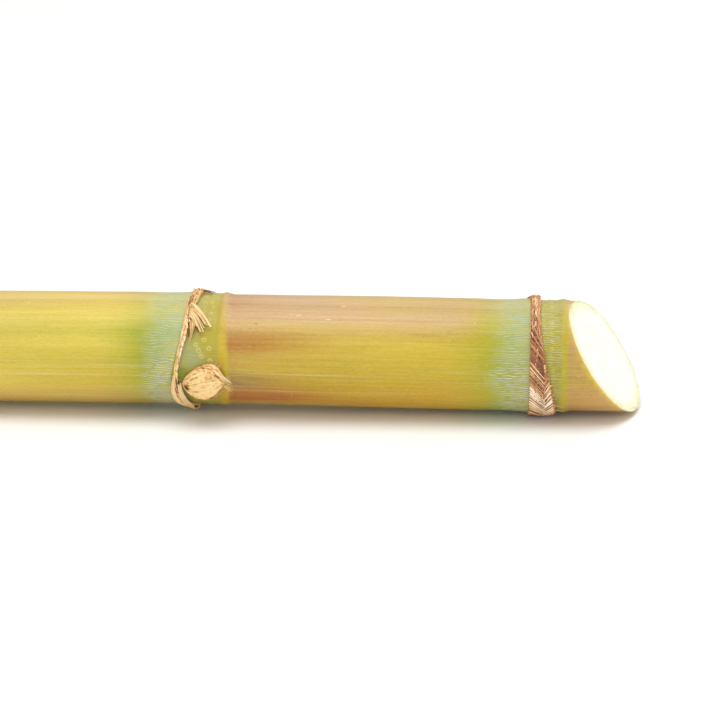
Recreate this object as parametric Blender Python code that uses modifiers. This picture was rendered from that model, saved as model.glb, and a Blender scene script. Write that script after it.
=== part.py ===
"""A cut length of sugarcane, lying on its side.

The cane grows towards +X. It has three nodes. Each node carries the dry stub of a leaf sheath on its leaf
scar, a band of small root buds, a raised growth ring, and one scaly bud. The buds stand on alternate sides.
Both ends are cut aslant. The cane rests on the flattened undersides of its first and last sheath stubs.
Angles round the cane are measured from its front (-Y), up over the top (+Z).
"""

import functools
import math
import random

import bmesh
import bpy
import numpy as np
from mathutils import Matrix, Vector

MM = 0.001

# The cane: its thickness, the spacing of its nodes, and what is left past the first and the last one
CANE_RADIUS = 18.0 * MM
INTERNODES = (105.0 * MM, 107.0 * MM)
LOWER_STUMP = 22.0 * MM
UPPER_STUMP = 23.7 * MM
CANE_SIDES = 66

# How each cut faces: along the cane, towards the back, and up
LOWER_CUT = Vector((-1.0, -0.16, 0.34))
UPPER_CUT = Vector((1.0, -0.28, 0.61))
CUT_SNAP = 0.1 * MM

# One node from below its leaf scar to above its growth ring: (distance past the scar, height over the
# internode), as for a root band of ROOT_BAND; the rest is scaled to each node's own band
ROOT_BAND = 9.0
NODE_PROFILE = (
    (-18.0, 0.00),
    (-11.0, -0.15),
    (-5.0, -0.05),
    (-1.5, 0.22),
    (-0.2, 0.30),
    (0.8, -0.30),
    (2.1, -0.22),
    (2.9, -0.20),
    (3.7, -0.20),
    (4.5, -0.20),
    (5.3, -0.20),
    (6.1, -0.20),
    (7.4, -0.15),
    (8.2, 0.12),
    (9.0, 0.28),
    (9.9, -0.05),
    (11.5, -0.40),
    (18.0, -0.25),
)
SLANT_BELOW = 18.0 * MM
SCAR_DIP = 7.0 * MM
SCAR_DIP_SPREAD = math.radians(60.0)
RING_RISE = 1.2 * MM
RING_RISE_SPREAD = math.radians(30.0)

# Root buds: two staggered rows of small studs on the root band
ROOT_ROWS = (2.9, 5.3)
ROOT_STUD = 0.42 * MM
ROOT_STEP = 3
ROOT_FREE_OF_BUD = math.radians(26.0)

# The shallow furrow that the bud presses into the internode above it
FURROW_DEPTH = 0.5 * MM
FURROW_LENGTH = 45.0 * MM
FURROW_SPREAD = math.radians(13.0)

# What keeps neighbouring solids apart, and how the cane lies
GAP = 0.3 * MM
SCAR_CREST = 0.30 * MM
STUB_THICKNESS = 0.7 * MM
STUB_LEAN = 0.10 * MM
STUB_BELOW_SCAR = 1.0 * MM
PRESSED_FLAT = 0.15 * MM
REST_HEIGHT = CANE_RADIUS + SCAR_CREST + GAP + STUB_THICKNESS - PRESSED_FLAT
ARCH_RISE = 0.8 * MM

# The buds
BUD_LENGTH = 14.0 * MM
BUD_WIDTH = 10.6 * MM
BUD_HEIGHT = 4.6 * MM
BUD_PAST_SCAR = 3.3 * MM
BUD_TIP_LIFT = 1.6 * MM
BUD_RIBS = 7
BUD_RIB_DEPTH = 0.13
BUD_SIDES = 28
BUD_ROWS = 11
BUD_SEAT = 0.6 * MM
BUD_WIDEST = 0.62
BUD_LEAN = math.radians(6.0)
SCALE_EDGE = 0.5 * MM
SCALE_EDGE_SIDES = (-2.2, -1.05)

# Torn fibres: where each group is rooted (angle from the bud, share of the way across the stub), and its tips
# (angle from the bud, reach up the cane in mm, lift in mm)
STRAND_RADIUS = 0.42 * MM
FAN_TIPS = ((62, 5.6, 0.6), (66, 5.4, 0.3), (58, 4.4, 0.5), (55, 3.4, 0.3), (52, 2.2, 0.6), (49, 1.2, 0.2))
FAN = (80.0, 0.6, FAN_TIPS)
SCRAP = (118.0, 0.5, ((108, 4.4, 0.2), (116, 5.0, 0.4), (124, 4.6, 0.2)))
FRAY = (-148.0, 0.6, ((-150, 3.4, 0.5), (-156, 2.6, 0.6), (-143, 2.8, 0.3)))

# Colours, as linear RGB
RIND = (0.50, 0.44, 0.07)
DRY_TAN = (0.58, 0.36, 0.16)
DRY_BROWN = (0.36, 0.14, 0.06)
BUD_TAN = (0.62, 0.38, 0.18)


def wrapped(angle):
    """The same angle, from -pi to pi."""
    return (angle + math.pi) % math.tau - math.pi


class Node:
    """One node of the cane: where its leaf scar is away from the bud, and which side its bud is on."""

    def __init__(self, name, scar, bud_angle, root_band):
        self.name = name
        self.scar = scar
        self.bud_angle = math.radians(bud_angle)
        self.root_band = root_band * MM

    def turn(self, around):
        """The angle from the bud, from -pi to pi."""
        return wrapped(around - self.bud_angle)

    def scar_at(self, around):
        """Where the leaf scar is at this side: it dips towards the root end under the bud."""
        return self.scar - SCAR_DIP * bell(self.turn(around), SCAR_DIP_SPREAD)

    def stations(self):
        """The node's profile as (x, height, share of the scar's dip, share of the ring's rise)."""
        stretch = self.root_band / (ROOT_BAND * MM)
        found = []
        for distance, height in NODE_PROFILE:
            past = distance * MM
            if 0.0 < distance <= ROOT_BAND:
                past *= stretch
            elif distance > ROOT_BAND:
                past += self.root_band - ROOT_BAND * MM
            below = smooth(1.0 + past / SLANT_BELOW)
            above = 1.0 - past / self.root_band
            dip = below if past < 0.0 else max(above, 0.0)
            rise = smooth(1.0 - abs(past / self.root_band - 1.0))
            found.append((self.scar + past, height * MM, dip, rise))
        return found


NODES = (
    Node("lower", -INTERNODES[0], 168.0, 9.5),
    Node("middle", 0.0, -18.0, 9.0),
    Node("upper", INTERNODES[1], -173.0, 10.5),
)
LOWER_END = NODES[0].scar - LOWER_STUMP
UPPER_END = NODES[-1].scar + UPPER_STUMP

# The cane's centre line: it bends a little at each node, as cane does
BEND_X = (LOWER_END, NODES[0].scar, NODES[1].scar, NODES[2].scar, UPPER_END)
BEND_Y = (0.5 * MM, 0.2 * MM, -0.3 * MM, 0.2 * MM, 0.4 * MM)
BEND_Z = (REST_HEIGHT, REST_HEIGHT, REST_HEIGHT + ARCH_RISE, REST_HEIGHT, REST_HEIGHT + 0.1 * MM)


def smooth(share):
    """An even step from 0 to 1."""
    share = min(max(share, 0.0), 1.0)
    return share * share * (3.0 - 2.0 * share)


def bell(value, spread):
    """A smooth bump, 1 at 0 and small past the spread."""
    return math.exp(-((value / spread) ** 2))


def placed(x, around, radius):
    """The point at this place along and round the cane's bent centre line."""
    y = np.interp(x, BEND_X, BEND_Y) - radius * math.cos(around)
    z = np.interp(x, BEND_X, BEND_Z) + radius * math.sin(around)
    return Vector((x, y, z))


def side_of(point):
    """The angle round the X axis of a point of a turned shape that hasn't been bent yet."""
    return math.atan2(point.z, -point.y)


# The cane


@functools.cache
def cane_stations():
    """Every station of the cane's profile, each with its node if it is near one."""
    found = [(LOWER_END - CANE_RADIUS, 0.0, 0.0, 0.0, None)]
    for index, node in enumerate(NODES):
        if index:
            middle = (NODES[index - 1].scar + node.scar) / 2.0
            found.append((middle, 0.0, 0.0, 0.0, None))
        found += [(*station, node) for station in node.stations()]
    kept = [station for station in found if station[0] < UPPER_END]
    kept.append((UPPER_END + CANE_RADIUS, -0.1 * MM, 0.0, 0.0, None))
    return kept


def furrow(x, around):
    """How deep the furrows above the buds are here."""
    depth = 0.0
    for node in NODES:
        past = x - node.scar - node.root_band
        if 0.0 < past < FURROW_LENGTH:
            depth += FURROW_DEPTH * bell(node.turn(around), FURROW_SPREAD) * (1.0 - past / FURROW_LENGTH)
    return depth


def cane_column(around):
    """The cane's outline along one side: its stations' real places, and their radii."""
    places = []
    radii = []
    for x, height, dip, rise, node in cane_stations():
        if node:
            turn = node.turn(around)
            x -= SCAR_DIP * dip * bell(turn, SCAR_DIP_SPREAD)
            x += RING_RISE * rise * bell(turn, RING_RISE_SPREAD)
        places.append(x)
        radii.append(CANE_RADIUS + height - furrow(x, around))
    return places, radii


def cane_clearance(x, around):
    """The radius that clears the cane here, with whatever ridge is close by."""
    places, radii = cane_column(around)
    near = [np.interp(x + step * MM, places, radii) for step in (-1.4, -0.7, 0.0, 0.7, 1.4)]
    return max(near) + GAP


def root_stud(station, column):
    """How far this point of the grid stands out as a root bud."""
    x, _, _, _, node = station
    if node is None or abs(node.turn(math.tau * column / CANE_SIDES)) < ROOT_FREE_OF_BUD:
        return 0.0
    stretch = node.root_band / (ROOT_BAND * MM)
    for row, distance in enumerate(ROOT_ROWS):
        on_row = abs(x - node.scar - distance * MM * stretch) < 0.01 * MM
        if on_row and (column + row) % ROOT_STEP == 0:
            return ROOT_STUD
    return 0.0


def turned(name, profile, sides, closed):
    """A mesh made by turning a profile of (x, radius) about the X axis with a Screw modifier."""
    mesh = bpy.data.meshes.new(name)
    links = [(i, i + 1) for i in range(len(profile) - 1)]
    if closed:
        links.append((len(profile) - 1, 0))
    mesh.from_pydata([(x, 0.0, radius) for x, radius in profile], links, [])
    blank = bpy.data.objects.new(name, mesh)
    bpy.context.scene.collection.objects.link(blank)
    screw = blank.modifiers.new("Turn", "SCREW")
    screw.axis = "X"
    screw.steps = sides
    screw.render_steps = sides
    screw.use_merge_vertices = True
    screw.merge_threshold = 0.01 * MM
    graph = bpy.context.evaluated_depsgraph_get()
    made = bpy.data.meshes.new_from_object(blank.evaluated_get(graph))
    bpy.data.objects.remove(blank)
    return made


def cane(collection):
    """The cane: a turned profile, slanted and studded round each node, with both ends cut off."""
    stations = cane_stations()
    mesh = turned("cane", [(x, CANE_RADIUS) for x, *_ in stations], CANE_SIDES, closed=False)
    order = {round(x / MM, 2): i for i, (x, *_) in enumerate(stations)}
    for vertex in mesh.vertices:
        around = side_of(vertex.co)
        column = round(around * CANE_SIDES / math.tau)
        index = order[round(vertex.co.x / MM, 2)]
        places, radii = cane_column(around)
        radius = radii[index] + root_stud(stations[index], column)
        vertex.co = placed(places[index], around, radius)
    body = bmesh.new()
    body.from_mesh(mesh)
    for x, facing in ((LOWER_END, LOWER_CUT), (UPPER_END, UPPER_CUT)):
        cut_end(body, placed(x, 0.0, 0.0), facing)
    bmesh.ops.recalc_face_normals(body, faces=body.faces)
    body.to_mesh(mesh)
    body.free()
    return finished("cane", mesh, RIND, 0.35, collection)


def cut_end(body, centre, facing):
    """Cuts everything past a plane away, and closes the cut."""
    everything = body.verts[:] + body.edges[:] + body.faces[:]
    bmesh.ops.bisect_plane(
        body, geom=everything, dist=CUT_SNAP, plane_co=centre, plane_no=facing, clear_outer=True
    )
    rim = [edge for edge in body.edges if edge.is_boundary and on_plane(edge, centre, facing)]
    bmesh.ops.contextual_create(body, geom=rim)


def on_plane(edge, centre, facing):
    """Whether both ends of an edge lie on a plane."""
    normal = facing.normalized()
    return all(abs((vertex.co - centre).dot(normal)) < CUT_SNAP for vertex in edge.verts)


# The leaf sheath stubs

PLEATS = 40
PLEAT_FOLD = 0.62
PLEAT_DEPTH = 0.45 * MM
STRANDS = 28
STRAND_LEAN = 3.0
STRAND_DEPTH = 0.4 * MM


class Stub:
    """The dry stub of a leaf sheath: a band round the cane, as wide and as rough as its functions say."""

    def __init__(self, node, sides, rows, width, ridge, recess=lambda turn: 0.0):
        self.node = node
        self.sides = sides
        self.rows = rows
        self.width = width
        self.ridge = ridge
        self.recess = recess

    def inner(self, around, across):
        """The radius of its inner wall, which leans a little out towards its torn edge."""
        return CANE_RADIUS + SCAR_CREST + GAP + STUB_LEAN * across

    def mesh(self, name):
        """The band: a unit ring whose x is the way across it and whose radius is 1 inside and 2 outside."""
        outside = [(row / self.rows, 2.0) for row in range(self.rows + 1)]
        inside = [(share, 1.0) for share in (1.0, 0.5, 0.0)]
        made = turned(name, outside + inside, self.sides, closed=True)
        for vertex in made.vertices:
            around = side_of(vertex.co)
            across = vertex.co.x
            outward = math.hypot(vertex.co.y, vertex.co.z) - 1.0
            turn = self.node.turn(around)
            wide = self.width(turn)
            x = self.node.scar_at(around) - STUB_BELOW_SCAR + self.recess(turn) + wide * across
            thick = STUB_THICKNESS + self.ridge(turn, across, wide)
            radius = self.inner(around, across) + outward * thick
            vertex.co = placed(x, around, radius)
        return made


def torn(turn, steps, depth, seed):
    """An uneven torn edge: a factor near 1 that changes from one step round the cane to the next."""
    draw = random.Random(seed)
    heights = [1.0 + depth * draw.uniform(-1.0, 1.0) for _ in range(steps)]
    place = (turn / math.tau + 0.5) * steps
    left = int(place) % steps
    return heights[left] + (heights[(left + 1) % steps] - heights[left]) * (place % 1.0)


def middle_width(turn):
    """A narrow torn lip by the bud, wider over the top of the cane and in the flap below the bud."""
    over_top = 3.0 * MM * bell(turn - math.radians(125.0), math.radians(30.0))
    flap = 1.3 * MM * bell(turn + math.radians(45.0), math.radians(16.0))
    return (1.8 * MM + over_top + flap) * torn(turn, 40, 0.16, 3)


def middle_ridge(turn, across, wide):
    """The lip curls outwards at its edge, most in the flap below the bud."""
    curl = 0.9 * MM * bell(turn + math.radians(45.0), math.radians(18.0))
    return (0.25 * MM + curl) * across + 0.15 * MM * (torn(turn, 48, 1.0, 5) - 1.0)


def upper_width(turn):
    """A band that is widest in the tongue low on the front, and narrow at the bud."""
    tongue = 6.0 * MM * bell(wrapped(turn - math.radians(115.0)), math.radians(72.0))
    at_bud = 1.0 * MM * bell(turn, math.radians(40.0))
    return (3.1 * MM + tongue - at_bud) * torn(turn, 36, 0.05, 8)


def upper_recess(turn):
    """The band has broken back to the scar over the top of the cane."""
    return 1.6 * MM * bell(turn + math.radians(78.0), math.radians(35.0))


def upper_ridge(turn, across, wide):
    """Pleats in a herringbone, as in a dried and crumpled sheath."""
    lean = abs(across - PLEAT_FOLD) * wide / CANE_RADIUS
    pleat = 0.5 + 0.5 * math.cos(PLEATS * (turn + lean))
    edges = min(1.0, 6.0 * across, 6.0 * (1.0 - across))
    return PLEAT_DEPTH * pleat * edges


def lower_width(turn):
    """An even, rope-like ring of frayed fibres."""
    return (2.6 * MM + 0.8 * MM * bell(turn - math.pi / 2.0, math.radians(50.0))) * torn(turn, 30, 0.14, 12)


def lower_ridge(turn, across, wide):
    """Strands that run aslant round the ring."""
    strand = 0.5 + 0.5 * math.cos(STRANDS * turn + STRAND_LEAN * across)
    return STRAND_DEPTH * strand * math.sin(math.pi * across)


def press_flat(mesh):
    """What would lie below the surface that the cane rests on is pressed flat against it."""
    for vertex in mesh.vertices:
        vertex.co.z = max(vertex.co.z, 0.0)


def strand(name, start, end, thick, collection):
    """One stiff torn fibre: a slim four-sided spike."""
    body = bmesh.new()
    length = (end - start).length
    bmesh.ops.create_cone(
        body, cap_ends=True, segments=4, radius1=thick, radius2=thick * 0.55, depth=length
    )
    turn = (end - start).to_track_quat("Z", "Y").to_matrix().to_4x4()
    bmesh.ops.transform(body, matrix=Matrix.Translation((start + end) / 2.0) @ turn, verts=body.verts)
    mesh = bpy.data.meshes.new(name)
    body.to_mesh(mesh)
    body.free()
    made = bpy.data.objects.new(name, mesh)
    collection.objects.link(made)
    return made


def tuft(stub, root_turn, tips, root_across, collection):
    """The fibres that stand out of a stub's torn edge, as (turn from the bud, reach past the root) tips."""
    node = stub.node
    around = node.bud_angle + math.radians(root_turn)
    x = node.scar_at(around) - STUB_BELOW_SCAR + stub.width(node.turn(around)) * root_across
    root = placed(x, around, stub.inner(around, root_across) + STUB_THICKNESS * 0.5)
    made = []
    for index, (tip_turn, reach, lift) in enumerate(tips):
        side = node.bud_angle + math.radians(tip_turn)
        radius = stub.inner(side, 1.0) + STUB_THICKNESS * 0.5 + lift * MM
        tip = placed(x + reach * MM, side, radius)
        made.append(strand(f"strand_{node.name}_{index}", root, tip, STRAND_RADIUS, collection))
    return made


def sheath_stub(stub, colour, tufts, collection, helpers):
    """A stub with its fibres joined to it."""
    name = f"leaf_sheath_stub_{stub.node.name}"
    mesh = stub.mesh(name)
    body = bmesh.new()
    body.from_mesh(mesh)
    bmesh.ops.recalc_face_normals(body, faces=body.faces)
    body.to_mesh(mesh)
    body.free()
    made = finished(name, mesh, colour, 0.8, collection)
    strands = []
    for root_turn, root_across, tips in tufts:
        strands += tuft(stub, root_turn, tips, root_across, helpers)
    if strands:
        join(made, strands)
    press_flat(made.data)
    return made


def join(target, pieces):
    """Joins pieces to a target with one Boolean union, then removes them."""
    group = bpy.data.collections.new(f"{target.name}_pieces")
    for piece in pieces:
        group.objects.link(piece)
    union = target.modifiers.new("Join", "BOOLEAN")
    union.operation = "UNION"
    union.operand_type = "COLLECTION"
    union.collection = group
    union.solver = "EXACT"
    graph = bpy.context.evaluated_depsgraph_get()
    joined = bpy.data.meshes.new_from_object(target.evaluated_get(graph))
    target.modifiers.remove(union)
    target.data = joined
    for piece in pieces:
        bpy.data.objects.remove(piece)
    bpy.data.collections.remove(group)


# The buds


def bud_fullness(share):
    """How full the bud is from its foot, 0, past its widest place to its blunt point, 1."""
    if share < BUD_WIDEST:
        return (1.0 - ((BUD_WIDEST - share) / BUD_WIDEST) ** 2) ** 0.7
    return max(1.0 - ((share - BUD_WIDEST) / (1.0 - BUD_WIDEST)) ** 2.2, 0.0) ** 0.8


def bud_swell(share):
    """How far the bud stands out: it swells soon after its foot and lies down towards its point."""
    return max(math.sin(math.pi * share**0.85), 0.0) ** 0.6


def bud(node, size, collection):
    """A plump scaly bud that lies on the root band with its point up the cane, its underside on the rind."""
    name = f"bud_{node.name}"
    body = bmesh.new()
    bmesh.ops.create_uvsphere(body, u_segments=BUD_SIDES, v_segments=BUD_ROWS, radius=1.0)
    foot = node.scar_at(node.bud_angle) + BUD_PAST_SCAR
    for vertex in body.verts:
        share = (vertex.co.z + 1.0) / 2.0
        meridian = math.atan2(vertex.co.x, vertex.co.y)
        full = bud_fullness(share)
        ribs = 1.0 + BUD_RIB_DEPTH * math.cos(BUD_RIBS * meridian) * full
        aside = math.sin(meridian) * full * ribs * BUD_WIDTH / 2.0 * size
        above = math.cos(meridian) * bud_swell(share) * ribs * BUD_HEIGHT * size
        if SCALE_EDGE_SIDES[0] < meridian < SCALE_EDGE_SIDES[1]:
            above += SCALE_EDGE * full
            aside -= SCALE_EDGE * full
        x = foot + share * BUD_LENGTH * size
        around = node.bud_angle + BUD_LEAN * share + aside / CANE_RADIUS
        rind = cane_clearance(x, around)
        lift = BUD_TIP_LIFT * share**3 + BUD_SEAT
        vertex.co = placed(x, around, max(rind + above + lift, rind))
    mesh = bpy.data.meshes.new(name)
    body.to_mesh(mesh)
    body.free()
    return finished(name, mesh, BUD_TAN, 0.7, collection)


# Putting it together


def finished(name, mesh, colour, roughness, collection):
    """The mesh as a named object with its own material, smooth but for its sharp edges."""
    mesh.name = name
    material = bpy.data.materials.new(name)
    material.use_nodes = True
    shader = material.node_tree.nodes["Principled BSDF"]
    shader.inputs["Base Color"].default_value = (*colour, 1.0)
    shader.inputs["Roughness"].default_value = roughness
    shader.inputs["Metallic"].default_value = 0.0
    mesh.materials.clear()
    mesh.materials.append(material)
    mesh.shade_smooth()
    mesh.set_sharp_from_angle(angle=math.radians(35.0))
    made = bpy.data.objects.new(name, mesh)
    collection.objects.link(made)
    return made


def centre_on_base(parts):
    """Moves the meshes so that the origin is under the middle of the whole, on the surface it rests on."""
    points = [vertex.co for part in parts for vertex in part.data.vertices]
    low = Vector(min(point[axis] for point in points) for axis in range(3))
    high = Vector(max(point[axis] for point in points) for axis in range(3))
    middle = (low + high) / 2.0
    for part in parts:
        part.data.transform(Matrix.Translation((-middle.x, -middle.y, -low.z)))


def clear_scene():
    """Removes what the scene holds."""
    for old in list(bpy.data.objects):
        bpy.data.objects.remove(old)


def main():
    """Builds the whole length of cane."""
    clear_scene()
    collection = bpy.data.collections.new("sugarcane_stalk")
    helpers = bpy.data.collections.new("helpers")
    bpy.context.scene.collection.children.link(collection)
    bpy.context.scene.collection.children.link(helpers)
    lower, middle, upper = NODES
    stubs = (
        (Stub(lower, 84, 4, lower_width, lower_ridge), DRY_TAN, (FRAY,)),
        (Stub(middle, 96, 3, middle_width, middle_ridge), DRY_TAN, (FAN, SCRAP)),
        (Stub(upper, 120, 7, upper_width, upper_ridge, upper_recess), DRY_BROWN, ()),
    )
    parts = [cane(collection)]
    for stub, colour, tufts in stubs:
        parts.append(sheath_stub(stub, colour, tufts, collection, helpers))
    for node, size in ((lower, 0.94), (middle, 1.0), (upper, 0.9)):
        parts.append(bud(node, size, collection))
    centre_on_base(parts)


main()
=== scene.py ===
"""The finish of a cut length of sugarcane: waxy rind, cut flesh, torn leaf sheath stubs and scaly buds.

The cane lies along X and grows towards +X. A place on it is given by how far along it is, by the angle
round it from its front (-Y), up over its top (+Z), and by how high it stands over the rind. Along the
cane, 0 is the leaf scar of the middle node on the side away from its bud.
"""

from __future__ import annotations

import logging
import math
import random
from dataclasses import dataclass, field
from enum import Enum
from typing import Iterable, Sequence

import bmesh
import bpy
import numpy as np
from mathutils import Matrix, Vector


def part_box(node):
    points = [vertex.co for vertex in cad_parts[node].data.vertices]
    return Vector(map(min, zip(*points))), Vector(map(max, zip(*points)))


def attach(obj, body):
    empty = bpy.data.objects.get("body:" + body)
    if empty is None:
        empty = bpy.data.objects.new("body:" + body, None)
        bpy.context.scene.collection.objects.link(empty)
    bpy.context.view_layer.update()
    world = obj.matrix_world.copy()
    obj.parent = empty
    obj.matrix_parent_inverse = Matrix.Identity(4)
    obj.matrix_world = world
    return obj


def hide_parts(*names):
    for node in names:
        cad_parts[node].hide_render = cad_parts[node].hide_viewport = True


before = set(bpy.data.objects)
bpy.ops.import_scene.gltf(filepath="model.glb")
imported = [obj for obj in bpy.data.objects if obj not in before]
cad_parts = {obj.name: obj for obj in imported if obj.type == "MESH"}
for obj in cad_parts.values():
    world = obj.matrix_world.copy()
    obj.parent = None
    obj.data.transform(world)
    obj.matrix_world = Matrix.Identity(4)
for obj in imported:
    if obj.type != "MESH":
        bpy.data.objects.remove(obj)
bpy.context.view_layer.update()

LOG = logging.getLogger("sugarcane")
MM = 0.001
BODY = "root"
WAVES = 9
STRAND_SIZES = ("raised", "width", "thick", "bow", "sway")

Place = tuple[float, float, float]
Colour = tuple[float, float, float, float]
Masks = dict[str, np.ndarray]
Range = float | tuple[float, ...]


def bell(value: np.ndarray, spread: float) -> np.ndarray:
    """A smooth bump, 1 at 0 and small past the spread."""
    return np.exp(-((value / spread) ** 2))


def hump(angle: np.ndarray, at: float, spread: float) -> np.ndarray:
    """A smooth bump round the cane, with its place and its spread in degrees."""
    return bell(angle - math.radians(at), math.radians(spread))


def smooth(share: np.ndarray) -> np.ndarray:
    """An even step from 0 to 1."""
    share = np.clip(share, 0.0, 1.0)
    return share * share * (3.0 - 2.0 * share)


def wrapped(angle: np.ndarray) -> np.ndarray:
    """The same angle, from -pi to pi."""
    return (angle + math.pi) % math.tau - math.pi


class Slot(Enum):
    """The record's material slots."""

    RIND = "rind"
    FLESH = "flesh"
    SHEATH_TAN = "sheath_tan"
    SHEATH_BROWN = "sheath_brown"
    BUD = "bud_scale"


# The shape that everything else stands on


@dataclass(frozen=True)
class CaneNode:
    """A node: its leaf scar away from the bud, the side of its bud, and its root band's width."""

    name: str
    scar: float
    bud_angle: float
    root_band: float

    def turn(self, around: np.ndarray) -> np.ndarray:
        """The angle from the bud, from -pi to pi."""
        return wrapped(around - self.bud_angle)


@dataclass
class CaneForm:
    """The form of the bare cane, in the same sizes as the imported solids."""

    nodes: tuple[CaneNode, ...]
    radius: float = 18.0 * MM
    rest_height: float = 19.15 * MM
    arch_rise: float = 0.8 * MM
    lower_stump: float = 22.0 * MM
    upper_stump: float = 23.7 * MM
    scar_dip: float = 7.0 * MM
    scar_dip_spread: float = math.radians(60.0)
    slant_below: float = 18.0 * MM
    ring_rise: float = 1.2 * MM
    ring_rise_spread: float = math.radians(30.0)
    furrow_depth: float = 0.5 * MM
    furrow_length: float = 45.0 * MM
    furrow_spread: float = math.radians(13.0)
    stub_below_scar: float = 1.0 * MM
    usual_root_band: float = 9.0 * MM
    profile: tuple[tuple[float, float], ...] = (
        (-18.0, 0.00),
        (-11.0, -0.15),
        (-5.0, -0.05),
        (-1.5, 0.22),
        (-0.2, 0.30),
        (0.8, -0.30),
        (2.1, -0.22),
        (6.1, -0.20),
        (7.4, -0.15),
        (8.2, 0.12),
        (9.0, 0.28),
        (9.9, -0.05),
        (11.5, -0.40),
        (18.0, -0.25),
    )
    table_step: float = 0.05 * MM
    rounding: float = 0.28 * MM
    front_of_cane: float = 18.548 * MM
    origin_x: float = 0.0
    front_shift: float = 0.0
    table_along: np.ndarray = field(init=False)
    table_height: np.ndarray = field(init=False)

    def __post_init__(self) -> None:
        """Finds where the frame has the middle scar, and tables the rounded profile."""
        self.origin_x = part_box("leaf_sheath_stub_middle")[0].x + self.stub_below_scar + self.scar_dip
        self.front_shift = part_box("cane")[0].y + self.front_of_cane
        margin = 2.0 * self.radius
        self.table_along = np.arange(self.lower_end - margin, self.upper_end + margin, self.table_step)
        places, heights = self._profile_points()
        raw = np.interp(self.table_along, places, heights)
        reach = int(3.0 * self.rounding / self.table_step)
        kernel = bell(np.arange(-reach, reach + 1) * self.table_step, self.rounding)
        padded = np.pad(raw, reach, mode="edge")
        self.table_height = np.convolve(padded, kernel / kernel.sum(), mode="valid")

    @property
    def lower_end(self) -> float:
        """Where the cut at the root end crosses the centre line."""
        return self.nodes[0].scar - self.lower_stump

    @property
    def upper_end(self) -> float:
        """Where the cut at the growing end crosses the centre line."""
        return self.nodes[-1].scar + self.upper_stump

    def _profile_points(self) -> tuple[list[float], list[float]]:
        """The profile of all the nodes in one row.

        Returns:
            The places along the cane, and the heights over the internodes there.
        """
        places: list[float] = []
        heights: list[float] = []
        for node in self.nodes:
            stretch = node.root_band / self.usual_root_band
            for distance, height in self.profile:
                past = distance * MM
                if 0.0 < past <= self.usual_root_band:
                    past *= stretch
                elif past > self.usual_root_band:
                    past += node.root_band - self.usual_root_band
                places.append(node.scar + past)
                heights.append(height * MM)
        return places, heights

    def slide(self, along: np.ndarray, around: np.ndarray) -> np.ndarray:
        """Where a ring of the straight cane ends up along X: scars dip below the buds, growth rings rise.

        Args:
            along: Places along the straight cane.
            around: The angles round it.

        Returns:
            The places along X.
        """
        x = np.array(along, dtype=float)
        for node in self.nodes:
            past = along - node.scar
            turn = node.turn(around)
            below = smooth(1.0 + past / self.slant_below)
            above = np.clip(1.0 - past / node.root_band, 0.0, 1.0)
            dip = np.where(past < 0.0, below, above)
            rise = smooth(1.0 - np.abs(past / node.root_band - 1.0))
            x = x - self.scar_dip * dip * bell(turn, self.scar_dip_spread)
            x = x + self.ring_rise * rise * bell(turn, self.ring_rise_spread)
        return x

    def straightened(self, x: np.ndarray, around: np.ndarray) -> np.ndarray:
        """The place along the straight cane that slide() moves to this x.

        Args:
            x: Places along X.
            around: The angles round the cane.

        Returns:
            The places along the straight cane.
        """
        along = np.array(x, dtype=float)
        for _ in range(24):
            along = along - (self.slide(along, around) - x)
        return along

    def surface(self, x: np.ndarray, around: np.ndarray) -> np.ndarray:
        """The rind's radius here.

        Args:
            x: Places along X.
            around: The angles round the cane.

        Returns:
            The radii, with rings, scars and furrows.
        """
        along = self.straightened(x, around)
        return self.radius + np.interp(along, self.table_along, self.table_height) - self.furrow(x, around)

    def clear(self, x: np.ndarray, around: np.ndarray, gap: float) -> np.ndarray:
        """A radius that clears the rind and whatever ridge is close by.

        Args:
            x: Places along X.
            around: The angles round the cane.
            gap: How far to stay over the rind.

        Returns:
            The radii.
        """
        near = [self.surface(x + step * MM, around) for step in (-1.2, -0.6, 0.0, 0.6, 1.2)]
        return np.maximum.reduce(near) + gap

    def furrow(self, x: np.ndarray, around: np.ndarray) -> np.ndarray:
        """How deep the furrows above the buds are here.

        Args:
            x: Places along X.
            around: The angles round the cane.

        Returns:
            The depths.
        """
        depth = np.zeros(np.broadcast(x, around).shape)
        for node in self.nodes:
            past = x - node.scar - node.root_band
            fade = np.where(past > 0.0, np.clip(1.0 - past / self.furrow_length, 0.0, 1.0), 0.0)
            fade = fade * smooth(past / (3.0 * MM))
            depth = depth + self.furrow_depth * bell(node.turn(around), self.furrow_spread) * fade
        return depth

    def scar_at(self, node: CaneNode, around: np.ndarray) -> np.ndarray:
        """Where a node's leaf scar lies along X at these angles."""
        return node.scar - self.scar_dip * bell(node.turn(around), self.scar_dip_spread)

    def centre_line(self, x: np.ndarray) -> tuple[np.ndarray, np.ndarray]:
        """The bent centre line's y and z, in the frame.

        Args:
            x: Places along X.

        Returns:
            Their y and their z.
        """
        lower, middle, upper = self.nodes
        places = (self.lower_end, lower.scar, middle.scar, upper.scar, self.upper_end)
        sideways = (0.5 * MM, 0.2 * MM, -0.3 * MM, 0.2 * MM, 0.4 * MM)
        heights = (
            self.rest_height,
            self.rest_height,
            self.rest_height + self.arch_rise,
            self.rest_height,
            self.rest_height + 0.1 * MM,
        )
        return np.interp(x, places, sideways) + self.front_shift, np.interp(x, places, heights)

    def place(self, x: np.ndarray, around: np.ndarray, radius: np.ndarray) -> np.ndarray:
        """Points in the frame.

        Args:
            x: Places along X.
            around: The angles round the cane.
            radius: The distances from the centre line.

        Returns:
            The points, one row each.
        """
        y, z = self.centre_line(x)
        points = (x + self.origin_x, y - radius * np.cos(around), z + radius * np.sin(around))
        return np.stack(np.broadcast_arrays(*points), axis=-1)

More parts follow.
